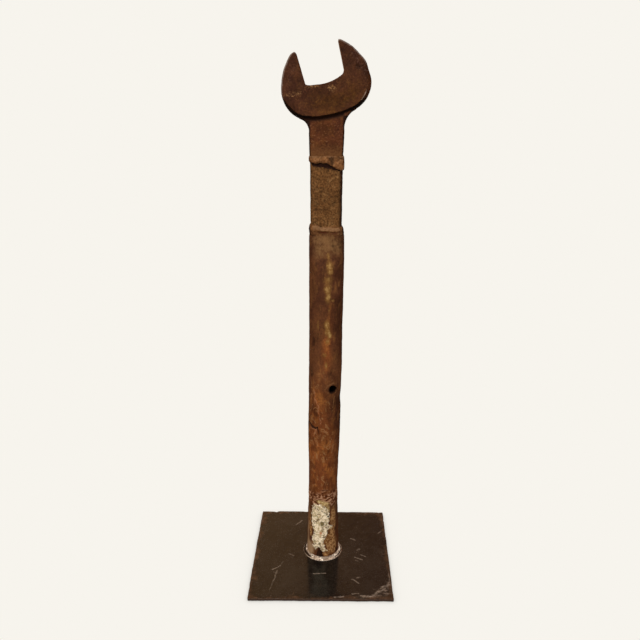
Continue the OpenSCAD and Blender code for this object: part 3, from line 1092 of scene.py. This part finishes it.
def build_bar():
    cols = 190
    heights = np.linspace(TANG_END, JOINT_H, 224)
    rows = []
    taper = MOUTH_START - 15
    for z in heights:
        width = np.interp(z, [taper, MOUTH_START, PIPE_LEN, JOINT_H], [TANG_W, BAR_W, BAR_W, JOINT_W])
        rows.append(ring_at(ring(width, BAR_T, BAR_R, cols), z))
    grid = np.array(rows)
    flat = grid.reshape(-1, 3)
    holes = [(0.40, 4.2, 63, 0.55, 0.34), (0.22, 2.2, 64, 0.45, 0.34)]
    relief = uneven(flat, [(0.10, 16, 61, 3), (0.20, 4.2, 62, 4)], holes)
    # The hollow under the butt weld, painted dark as the weld's shadow.
    ragged = 1.5 * fbm(flat, 3.5, 66)
    hollow = step(flat[:, 2] + ragged, shadow_low(flat[:, 0]) - 0.8, shadow_low(flat[:, 0]) + 1.2)
    hollow *= step(flat[:, 0], -15.5, -12.5) * (flat[:, 1] < 0)
    relief -= (0.8 + 0.5 * fbm(flat, 2.4, 67, 3)) * hollow
    shown = step(flat[:, 2], PIPE_LEN - 6, PIPE_LEN + 2)
    # The front corners are worn round.
    grid[..., 1] *= 1 - 0.30 * step(grid[..., 0], 11.5, 16) - 0.12 * step(-grid[..., 0], 13, 16)
    grid[..., 0] += 0.3 * step(-grid[..., 0], 12, 15) * shown.reshape(grid.shape[:2])
    grid = raised(grid, relief * shown, False)
    quads = loft_quads(len(grid), cols, False).tolist()
    last = (len(grid) - 1) * cols
    quads.append(list(range(cols - 1, -1, -1)))
    quads.append(list(range(last, last + cols)))
    obj = new_piece("extension_bar", grid.reshape(-1, 3), quads, POST)
    # Painted shade on the bar's rounded sides, wider at the right.
    sides = 0.95 * step(flat[:, 0], 9.4, 14.8) + 0.7 * step(-flat[:, 0], 12.6, 15.0)
    store(obj, relief=np.clip(relief * 1.7, -1, 1), dark=np.maximum(1.1 * hollow, sides))
    obj.data.set_sharp_from_angle(angle=math.radians(70))
    finish_piece(obj, "shank_bar", bar_material())


# ---------------------------------------------------------------- welds


def band_grid(width, depth, radius, profile, cols):
    """A closed band round a rectangle with round corners. Profile points are [outward,
    height], anticlockwise seen with outward to the right."""
    rows = []
    for outward, height in profile:
        outline = ring(width + 2 * outward, depth + 2 * outward, max(radius + outward, 0.2), cols)
        rows.append(ring_at(outline, height))
    return np.array(rows)


def ripples(grid, period, lean):
    """The crescents that a weld pool leaves, from 0 to 1, along each ring of a band."""
    middle = grid[len(grid) // 4]
    run = np.linalg.norm(np.roll(middle, -1, axis=0) - middle, axis=1)
    along = np.concatenate([[0], np.cumsum(run)[:-1]])
    total = run.sum()
    turns = round(total / period)
    section = np.linspace(0, 2 * np.pi, len(grid), endpoint=False)
    phase = along[None, :] / total * turns + lean * np.cos(section - np.pi / 4)[:, None]
    phase = phase + 0.35 * fbm(grid.reshape(-1, 3), 6, 71).reshape(grid.shape[:2])
    part = phase - np.floor(phase)
    return np.sin(np.pi * part ** 1.6)


def weld_relief(grid, height, period, lean, waves):
    """Height of weld metal on a band: ripples, and waves, each [height, size, seed]."""
    relief = height * (ripples(grid, period, lean).ravel() - 0.5)
    for tall, size, seed in waves:
        relief += tall * fbm(grid.reshape(-1, 3), size, seed, 3)
    return relief


def build_foot_weld():
    cols = 420
    # A tall bead against the pipe, a groove, and a low outer ridge.
    profile = resample(
        [(1.5, -0.4), (4.3, -0.4), (4.4, 0.0), (4.2, 0.5), (3.8, 0.85), (3.3, 0.7), (2.9, 0.4),
         (2.5, 0.7), (2.1, 1.5), (1.5, 2.5), (0.7, 2.9), (-0.1, 2.5), (-0.8, 1.4), (-0.9, -0.3)],
        56,
    )
    grid = band_grid(2 * PIPE_R + 0.6, 2 * PIPE_R + 0.6, PIPE_R + 0.3, profile, cols)
    flat = grid.reshape(-1, 3)
    angle = np.arctan2(flat[:, 0], -flat[:, 1])
    out = np.repeat(profile[:, 0], cols)
    top = step(flat[:, 2], 0.2, 1.4)
    relief = weld_relief(grid, 0.30, 2.1, 0.5, [(0.26, 7, 72), (0.16, 1.8, 73)])
    relief = relief * (0.3 + 0.7 * top)
    # The groove is widest at the left. It fills up at the front, and the bead runs up the
    # pipe at the right.
    right = step(np.sin(angle - 0.5), -0.1, 0.6)
    left = step(-np.sin(angle), 0.2, 0.8)
    groove = soft(out - 2.9, 0.7 + 0.5 * left)
    relief += 0.9 * groove * step(np.cos(angle), 0.4, 0.9)
    relief += 0.5 * right * top
    grid = raised(grid, relief, True)
    grid[..., 2] = np.maximum(grid[..., 2], -0.4)
    grid[..., 0] = grid[..., 0] * 1.03 + PIPE_SHIFT[0]
    obj = band_piece("foot_weld_bead", grid)
    # Painted shade in the crevice against the pipe, in the front of the groove and at the weld's foot.
    crevice = step(out, 0.5 + 0.5 * right, -0.3)
    dark = np.maximum(crevice, 1.3 * groove * step(np.cos(angle), 0.95, 0.7))
    dark = np.maximum(dark, step(grid[..., 2].ravel(), 0.4, 0.0))
    brown = 0.5 * right + 0.5 * step(out, 1.2, 0.0) + 0.3 * fbm(flat, 5, 78)
    brown += step(out, 3.0, 3.8) * step(np.cos(angle), 0.95, 0.6) * 0.4
    store(obj, relief=np.clip(relief * 2.5, -1, 1), dark=dark, brown=brown)
    finish_piece(obj, "foot_weld", bead_material())


def build_mouth_weld():
    low = PIPE_LEN
    profile = resample(
        [(1.5, low - 1.8), (1.9, low), (1.6, low + 1.4), (1.9, low + 3.2), (1.4, low + 5.2),
         (0.6, low + 6.7), (-0.1, low + 7.4), (-1.2, low + 6.0), (-1.6, low + 1.0), (-1.2, low - 2.0)],
        36,
    )
    cols = 300
    grid = band_grid(BAR_W, BAR_T + 3.0, 3.4, profile, cols)
    flat = grid.reshape(-1, 3)
    x, z = flat[:, 0], flat[:, 2]
    front = flat[:, 1] < 0
    relief = weld_relief(grid, 0.08, 3.4, 0.6, [(0.28, 7, 74), (0.12, 2, 75)])
    lumps = [(-12, low + 4.5, 3.2, 3, 0.6), (-2, low + 4.5, 8, 2.2, 0.5), (11, low + 4, 4, 2.2, 0.5)]
    seams = [
        (-3, low + 1.3, 5.5, 0.9, 1.1), (8, low + 0.9, 3, 0.9, 1.0), (12.5, low + 2.6, 2, 1.2, 0.8),
    ]
    seam = spots(x, z, seams)
    relief += (spots(x, z, lumps) - 0.7 * seam) * front
    relief = np.where(z > low - 1.4, relief, relief * 0.3)
    grid = raised(grid, relief, True)
    # The lip's top is highest at the left of the front, and its foot meets the pipe's corners.
    high = step(grid[..., 2], low, low + 5)
    grid[..., 2] += high * glide(grid[..., 0], [-16, -9, -4, 14], [1.0, 1.0, -0.8, -1.2])
    grid[..., 0] += 0.5 * step(grid[..., 2], low + 3, low - 1) + 0.6 * step(-grid[..., 0], 10, 15)
    obj = band_piece("mouth_lip", grid)
    # Lighter along the lip's crest, and painted shade on its narrow sides.
    crest = step(z, low + 2.0, low + 4.0) * step(z, low + 8, low + 6) * step(np.abs(x), 15.0, 12.5)
    store(
        obj,
        relief=np.clip(relief * 1.6, -1, 1),
        seam=seam * front,
        dark=0.8 * step(np.abs(x), 14.2, 16.4),
        edge=0.9 * crest,
    )
    finish_piece(obj, "mouth_weld", OLD_WELD)


def build_band():
    """The weld band round the joint of the bar and the neck."""
    top = JOINT_H + 5.6
    low = JOINT_H - 2.4
    profile = resample(
        [(-1.0, low + 0.6), (0.5, low + 0.1), (1.2, low + 0.8), (1.5, low + 2.6), (1.4, top - 2.6),
         (1.1, top - 1.2), (0.5, top - 0.2), (-1.0, top + 0.1)],
        40,
    )
    cols = 320
    grid = band_grid(JOINT_W, BAR_T, 1.8, profile, cols)
    flat = grid.reshape(-1, 3)
    x, z = flat[:, 0], flat[:, 2]
    front = flat[:, 1] < 0
    out = step(np.repeat(profile[:, 0], cols), 0.0, 0.8)
    relief = weld_relief(grid, 0.14, 3.0, 0.8, [(0.36, 6, 76), (0.14, 2, 77)])
    lumps = [(11, low + 1.6, 3.6, 3.4, 1.2), (-11, top - 3.2, 4, 2.5, 0.8), (-1, top - 3, 3, 2, 0.4)]
    lump = spots(x, z, lumps)
    dips = spots(x, z, [(5.4, top - 4.4, 1.5, 2.2, 0.8), (3.6, top - 2.4, 1.4, 1.0, 0.6)])
    relief = (relief + (lump - dips) * front) * out
    grid = raised(grid, relief, True)
    # It stands out less at the bar's narrow sides.
    side = np.abs(grid[..., 0]) - JOINT_W / 2
    share = np.where(grid[..., 0] > 0, 0.15, 0.4)
    grid[..., 0] -= np.sign(grid[..., 0]) * np.maximum(side, 0) * share
    # Its lower edge is ragged and falls towards the right.
    fall = weld_low(grid[..., 0]) - low + 1.1 * fbm(flat, 3.2, 79, 3).reshape(side.shape)
    grid[..., 2] += fall * step(grid[..., 2], top - 2, low)
    grid[..., 2] += 0.35 * fbm(flat, 6, 80, 2).reshape(side.shape) * step(grid[..., 2], top - 3, top)
    obj = band_piece("butt_weld_band", grid)
    # Painted shadow along the band's lower edge, painted shade in its dips and on its narrow sides,
    # and a painted highlight on its top rim and lumps.
    dark = 0.8 * step(z, low + 1.6, low + 0.2) + 0.6 * dips * front + 0.7 * step(np.abs(x), 15.2, 16.4)
    edge = 0.7 * step(z, top - 3.0, top - 0.8) + 0.45 * lump * front - 0.1
    store(obj, relief=np.clip(relief * 1.8, -1, 1), dark=dark, edge=edge, seam=np.zeros(len(z)))
    finish_piece(obj, "shank_weld", OLD_WELD)


# ---------------------------------------------------------------- jaw head

# Sizes as in part.scad, but the tips stand 0.5 further out. HEAD_H is the height of the
# head's centre. Arcs are [across the jaw, along the jaw, radius].
HEAD_H = 500
JAW_TILT = math.radians(15)
JAW_HALF = 18.25
JAW_FLARE = 0.035
THROAT_V = 3.7
THROAT_R = 40
TIP_V = 35.9
NECK_W = 32.6
LOBE_LEFT = (-16.7, 0.3, 24.5)
LOBE_RIGHT = (13.4, 1.7, 27.7)
HORN_LEFT = (9, -3.4, 50.5)
HORN_RIGHT = (-2.9, 0.5, 42.5)
HORN_START = 4.5
BELLY_R = 100
# Ochre flecks on the head's front: [across, up, half width, half height, strength].
HEAD_OCHRE = [
    (-14, 0.5, 6, 2.0, 1.0), (4.5, -0.5, 6, 4, 0.95), (-33, -6.5, 9, 4.5, 0.7),
    (-24, -5, 6, 3, 0.4), (8, 30, 5, 4, 0.3),
]
# Grey specks on the horns, in the same form.
HEAD_GREY = [
    (26, 26, 9, 10, 0.5), (34, 12, 6, 9, 0.4), (-32, 12, 7, 14, 0.4), (-20, 26, 5, 8, 0.3),
]
# Fillets from the neck to the lobes: side, lobe and radius.
FILLETS = ((-1, LOBE_LEFT, 12), (1, LOBE_RIGHT, 19))


def upright(u, v):
    """A point of the tilted jaw in the upright frame of the neck."""
    cos, sin = math.cos(JAW_TILT), math.sin(JAW_TILT)
    return np.array([u * cos - v * sin, u * sin + v * cos])


def tilted(x, z):
    """A point of the upright frame across the tilted jaw and along it."""
    cos, sin = math.cos(JAW_TILT), math.sin(JAW_TILT)
    return x * cos + z * sin, z * cos - x * sin


def disc_gap(u, v, disc):
    return np.hypot(u - disc[0], v - disc[1]) - disc[2]


def side_gap(x, z, a, b):
    """Distance to the right of the way from a to b."""
    way = (b - a) / np.linalg.norm(b - a)
    return (x - a[0]) * way[1] - (z - a[1]) * way[0]


def round_max(a, b, radius):
    """The larger of two distances, with their edge rounded to a radius."""
    a, b = a + radius, b + radius
    return np.minimum(np.maximum(a, b), 0) + np.hypot(np.maximum(a, 0), np.maximum(b, 0)) - radius


def worn_edge(outline, face, wide, deep, power=1.3):
    """Solid inside both an outline and a face, with an edge that is forged away: wide
    across the face, deep down the outline, and flatter than an ellipse at low powers."""
    across = outline / wide + 1
    down = face / deep + 1
    gap = np.maximum(across, 0) ** power + np.maximum(down, 0) ** power
    bend = (gap ** (1 / power) - 1) * np.minimum(wide, deep)
    return np.where((across > 0) & (down > 0), bend, np.maximum(outline, face))


def soft_min(a, b, reach):
    part = np.clip(0.5 + 0.5 * (b - a) / reach, 0, 1)
    return b + (a - b) * part - reach * part * (1 - part)


def blank_gap(x, z, u, v):
    """Distance outside the head's outline, before the gap is cut."""
    a, b = upright(*LOBE_LEFT[:2]), upright(*LOBE_RIGHT[:2])
    ra, rb = BELLY_R - LOBE_LEFT[2], BELLY_R - LOBE_RIGHT[2]
    gap = np.linalg.norm(b - a)
    along = (ra * ra - rb * rb + gap * gap) / (2 * gap)
    up = math.sqrt(ra * ra - along * along)
    way = (b - a) / gap
    c = a + along * way + up * np.array([-way[1], way[0]])
    belly = np.hypot(x - c[0], z - c[1]) - BELLY_R
    for side in (-side_gap(x, z, a, b), -side_gap(x, z, c, b), side_gap(x, z, c, a)):
        belly = np.maximum(belly, side)
    lobes = np.minimum(disc_gap(x, z, (*a, LOBE_LEFT[2])), disc_gap(x, z, (*b, LOBE_RIGHT[2])))
    horns = np.maximum(disc_gap(u, v, HORN_LEFT), disc_gap(u, v, HORN_RIGHT))
    horns = round_max(horns, v - TIP_V, np.where(u < 0, 2.0, 0.8))
    horns = np.maximum(horns, HORN_START - v)
    return soft_min(np.minimum(lobes, belly), horns, 0.5)


def cut_gap(u, v):
    """Distance outside the gap between the jaws."""
    hollow = THROAT_V + THROAT_R
    faces = np.abs(u) - JAW_HALF - JAW_FLARE * (v - THROAT_V)
    shoulder = hollow - math.sqrt(THROAT_R ** 2 - JAW_HALF ** 2)
    floor = np.minimum(disc_gap(u, v, (0, hollow, THROAT_R)), shoulder - v)
    # The floor is worn deeper into its left corner.
    floor = floor - 0.9 * step(-u, 8, 16)
    return round_max(faces, floor, np.where(u > 0, 3.0, 1.0))


def half_width(z):
    """Half the neck's width, by the height over the head's centre."""
    return np.interp(z, [JOINT_H - HEAD_H, -42], [JOINT_W / 2, NECK_W / 2])


def neck_gap(x, z):
    """Distance outside the neck's outline, with its fillets to the lobes."""
    gap = np.maximum(np.abs(x) - half_width(z), z)
    for side, lobe, radius in FILLETS:
        c = upright(*lobe[:2])
        edge = side * NECK_W / 2
        fx = edge + side * radius
        fz = c[1] - math.sqrt((lobe[2] + radius) ** 2 - (fx - c[0]) ** 2)
        slope = side_gap(x, z, np.array([fx, fz]), c) * side
        part = np.maximum(np.maximum(fz - z, slope), side * (edge - x) - 2)
        part = np.maximum(np.maximum(part, z - c[1]), radius - np.hypot(x - fx, z - fz))
        gap = np.minimum(gap, part)
    return gap


def head_gap(points):
    """Signed distance, about, outside the forged head with its neck."""
    x, y, z = points[:, 0], np.abs(points[:, 1]), points[:, 2] - HEAD_H
    u, v = tilted(x, z)
    up = v - np.where(u > 0, 6, -4) * step(np.abs(u), 0, 12)
    wide = glide(up, [-6, 8], [3.9, 1.1])
    deep = glide(up, [-6, 8], [8.0, 1.4])
    head = worn_edge(blank_gap(x, z, u, v), y - HEAD_T / 2, wide, deep)
    neck = round_max(neck_gap(x, z), y - BAR_T / 2, 2.0)
    solid = soft_min(head, neck, 1.6)
    tip = glide(v, [TIP_V - 9, TIP_V - 2], [0.7, 2.0]) - np.where(u > 0, 1.2, 0) * (v > TIP_V - 9)
    solid = round_max(solid, -cut_gap(u, v), np.maximum(tip, 0.7))
    return np.maximum(solid, JOINT_H - HEAD_H - z)


def settle(points, gap, turns):
    """Moves points onto the surface where gap is 0."""
    small = 0.02
    for _ in range(turns):
        here = gap(points)
        slope = np.empty_like(points)
        for axis in range(3):
            nudge = np.zeros(3)
            nudge[axis] = small
            slope[:, axis] = (gap(points + nudge) - gap(points - nudge)) / (2 * small)
        size = np.maximum((slope * slope).sum(axis=1), 0.25)
        points = points - np.clip(here / size, -0.6, 0.6)[:, None] * slope
    return points


def head_relief(points):
    """Height of the forged skin over the head's smooth shape."""
    waves = [(0.20, 20, 81, 2), (0.14, 7, 82, 3), (0.05, 2, 83, 3)]
    holes = [(0.18, 6, 84, 0.3, 0.22), (0.10, 2.4, 85, 0.25, 0.3), (0.3, 17, 86, 0.35, 0.16)]
    relief = uneven(points, waves, holes)
    x, z = points[:, 0], points[:, 2] - HEAD_H
    # The jaw's faces are smoother, the flat faces lie a little low, and the right lobe
    # has a dent.
    relief *= 1 - 0.6 * step(cut_gap(*tilted(x, z)), 1.6, 0.4)
    relief -= 0.12 * step(np.abs(points[:, 1]), HEAD_T / 2 - 0.6, HEAD_T / 2 - 0.1)
    return np.minimum(relief, 0.25) - spots(x, z, [(40, 15.5, 5, 7, 1.1)])


def head_colours(smooth, points, normal, relief):
    """The numbers on the head's points that its material reads. Smooth holds the points
    before their relief."""
    x, z = smooth[:, 0], smooth[:, 2] - HEAD_H
    u, v = tilted(x, z)
    front = points[:, 1] < 0
    # A painted highlight lies where the surface bends sharply outwards and on the jaw tips.
    face = HEAD_T / 2 - np.abs(points[:, 1])
    outline = -blank_gap(x, z, u, v)
    edge = soft(face - 0.5, 0.7) * soft(outline - 0.5, 0.9) * step(v, -4, 10)
    tips = step(v, TIP_V - 3, TIP_V - 0.5)
    edge = np.maximum(edge, 0.6 * tips) + 0.2 * fbm(points, 6, 87)
    # Painted shade on the parts that face down, on the neck under the head and on the neck's
    # corners, and a painted highlight line inside the lower right edge.
    lower = np.maximum(step(-x, 12, 20), step(x, 12, 22))
    under = step(-normal[:, 2], 0.12, 0.70) * (0.8 + 0.2 * lower) * (z > -32)
    from_corner = half_width(z) - np.abs(x)
    on_neck = step(from_corner, -1, 1) * step(-outline, -3.0, -1.5) * (z < -18)
    under = np.maximum(under, 0.9 * on_neck * step(-outline, 3.5, -1.5))
    under = np.maximum(under, 0.8 * step(from_corner, 2.4, 0.4) * (z < -24))
    glint = soft(outline - 3.6, 0.5) * spots(x, z, [(34, -8, 5, 9, 1.0)])
    return {
        "relief": np.clip(relief * 2.5, -1, 1),
        "edge": np.clip(edge, 0, 1),
        "ochre": spots(x, z, HEAD_OCHRE) * front,
        "neck": step(z, -24, -30),
        "foot": step(z, -42, -62),
        "olive": spots(x, z, [(0, -13, 16, 10, 1.0), (22, -4, 10, 10, 0.7), (0, -40, 14, 16, 0.4)]),
        "grey": spots(x, z, HEAD_GREY),
        "glint": glint * front,
        "dark": under,
    }


def build_head():
    obj = dense_copy("jaw_head", "wrench_head", voxel=0.46)
    smooth = settle(read_points(obj, POST), head_gap, turns=6)
    write_points(obj, smooth, POST)
    relief = head_relief(smooth)
    points = smooth + read_normals(obj) * relief[:, None]
    points[:, 2] = np.minimum(points[:, 2], head_high[2] - POST[2])
    write_points(obj, points, POST)
    store(obj, **head_colours(smooth, points, read_normals(obj), relief))
    finish_piece(obj, "jaw_head", head_material())


# ---------------------------------------------------------------- studio

CREAM = (0.930, 0.905, 0.847)
ROOM_MIRRORED = (1.28, 0.68, 0.27)
ROOM_MIRRORED_RIGHT = (0.42, 0.12, 0.045)
ROOM_LIT = (0.15, 0.135, 0.12)
FLOOR_MIRRORED = (0.12, 0.09, 0.06)
FLOOR_LIT = (0.12, 0.10, 0.08)
# How far the painted contact shadow round the plate reaches over the floor, in metres, and how
# strongly it darkens.
CONTACT_REACH = 0.03
CONTACT_POWER = 0.6
# The camera's place in millimetres, its turns in degrees and its focal length.
CAMERA_PLACE = (5.18, -618.27, 490.67)
CAMERA_PITCH = 18.62
CAMERA_YAW = -0.74
CAMERA_ROLL = 0.25
FOCAL = 36.44
# Where the lights shine, and their colours.
LIGHT_TARGET = (0, 0, 0.25)
DAYLIGHT = (1.0, 0.96, 0.90)
SKYLIGHT = (0.94, 0.97, 1.0)
WARM_LIGHT = (1.0, 0.94, 0.88)


def area_light(name, place, size, power, colour, mirrored=True):
    """A light at a place in metres, which shines at the object. It shows in gloss only
    if mirrored is true."""
    data = bpy.data.lights.new(name, "AREA")
    data.shape = "RECTANGLE"
    data.size, data.size_y = size
    data.energy = power
    data.color = colour
    light = bpy.data.objects.new(name, data)
    bpy.context.scene.collection.objects.link(light)
    light.visible_glossy = mirrored
    turn = (Vector(LIGHT_TARGET) - Vector(place)).to_track_quat("-Z", "Y")
    light.matrix_world = Matrix.Translation(place) @ turn.to_matrix().to_4x4()


def build_camera():
    data = bpy.data.cameras.new("camera")
    data.sensor_width = 36
    data.lens = FOCAL
    data.clip_start = 0.01
    camera = bpy.data.objects.new("camera", data)
    bpy.context.scene.collection.objects.link(camera)
    turn = Matrix.Rotation(math.radians(-CAMERA_YAW), 4, "Z")
    turn = turn @ Matrix.Rotation(math.radians(90 - CAMERA_PITCH), 4, "X")
    turn = turn @ Matrix.Rotation(math.radians(CAMERA_ROLL), 4, "Z")
    camera.matrix_world = Matrix.Translation(Vector(CAMERA_PLACE) * MM) @ turn
    bpy.context.scene.camera = camera


def studio_glow(nodes, seen, mirrored, lit):
    """Colour of a glow: what the camera sees, what shows in gloss and what it lights."""
    path = nodes.make("ShaderNodeLightPath", {}).outputs
    colour = nodes.blend(path["Is Glossy Ray"], lit, mirrored)
    return nodes.blend(path["Is Camera Ray"], colour, seen)


def build_floor():
    """A pale floor that glows evenly, with a painted contact shadow where the plate rests on it."""
    half = 3.0
    mesh = bpy.data.meshes.new("floor")
    corners = [(-half, -half, 0), (half, -half, 0), (half, half, 0), (-half, half, 0)]
    mesh.from_pydata(corners, [], [(0, 1, 2, 3)])
    floor = bpy.data.objects.new("floor", mesh)
    bpy.context.scene.collection.objects.link(floor)
    material = bpy.data.materials.new("floor")
    material.use_nodes = True
    nodes = Nodes(material.node_tree)
    nodes.tree.nodes.clear()
    contact = nodes.make("ShaderNodeAmbientOcclusion", {"Distance": CONTACT_REACH}, samples=12)
    shade = nodes.math("POWER", contact.outputs["AO"], CONTACT_POWER)
    colour = studio_glow(nodes, nodes.scaled(CREAM, shade), FLOOR_MIRRORED, FLOOR_LIT)
    glow = nodes.make("ShaderNodeEmission", {"Color": colour})
    nodes.make("ShaderNodeOutputMaterial", {"Surface": glow.outputs[0]})
    mesh.materials.append(material)


def build_world():
    world = bpy.data.worlds.new("studio")
    bpy.context.scene.world = world
    world.use_nodes = True
    nodes = Nodes(world.node_tree)
    # What shows in gloss is darker to the right.
    way = nodes.make("ShaderNodeTexCoord", {}).outputs["Generated"]
    right = nodes.make("ShaderNodeSeparateXYZ", {0: way}).outputs["X"]
    inputs = {"Value": right, "From Min": -0.10, "From Max": 0.12}
    share = nodes.make("ShaderNodeMapRange", inputs).outputs[0]
    mirrored = nodes.blend(share, ROOM_MIRRORED, ROOM_MIRRORED_RIGHT)
    colour = studio_glow(nodes, CREAM, mirrored, ROOM_LIT)
    nodes.put(world.node_tree.nodes["Background"].inputs["Color"], colour)
    bpy.context.scene.view_settings.view_transform = "Standard"


def build_studio():
    build_camera()
    build_floor()
    build_world()
    area_light("key", (-0.80, -1.75, 1.45), (1.5, 1.5), 50, DAYLIGHT)
    area_light("back", (0.1, 1.9, 1.0), (1.2, 1.2), 34, DAYLIGHT, mirrored=False)
    area_light("fill", (1.6, -1.2, 0.9), (1.0, 1.2), 8, SKYLIGHT)
    area_light("side", (1.8, 0.7, 0.8), (1.0, 1.2), 9, WARM_LIGHT, mirrored=False)


OLD_WELD = weld_material()
build_studio()
build_plate()
build_pipe()
build_bar()
build_foot_weld()
build_mouth_weld()
build_band()
build_head()
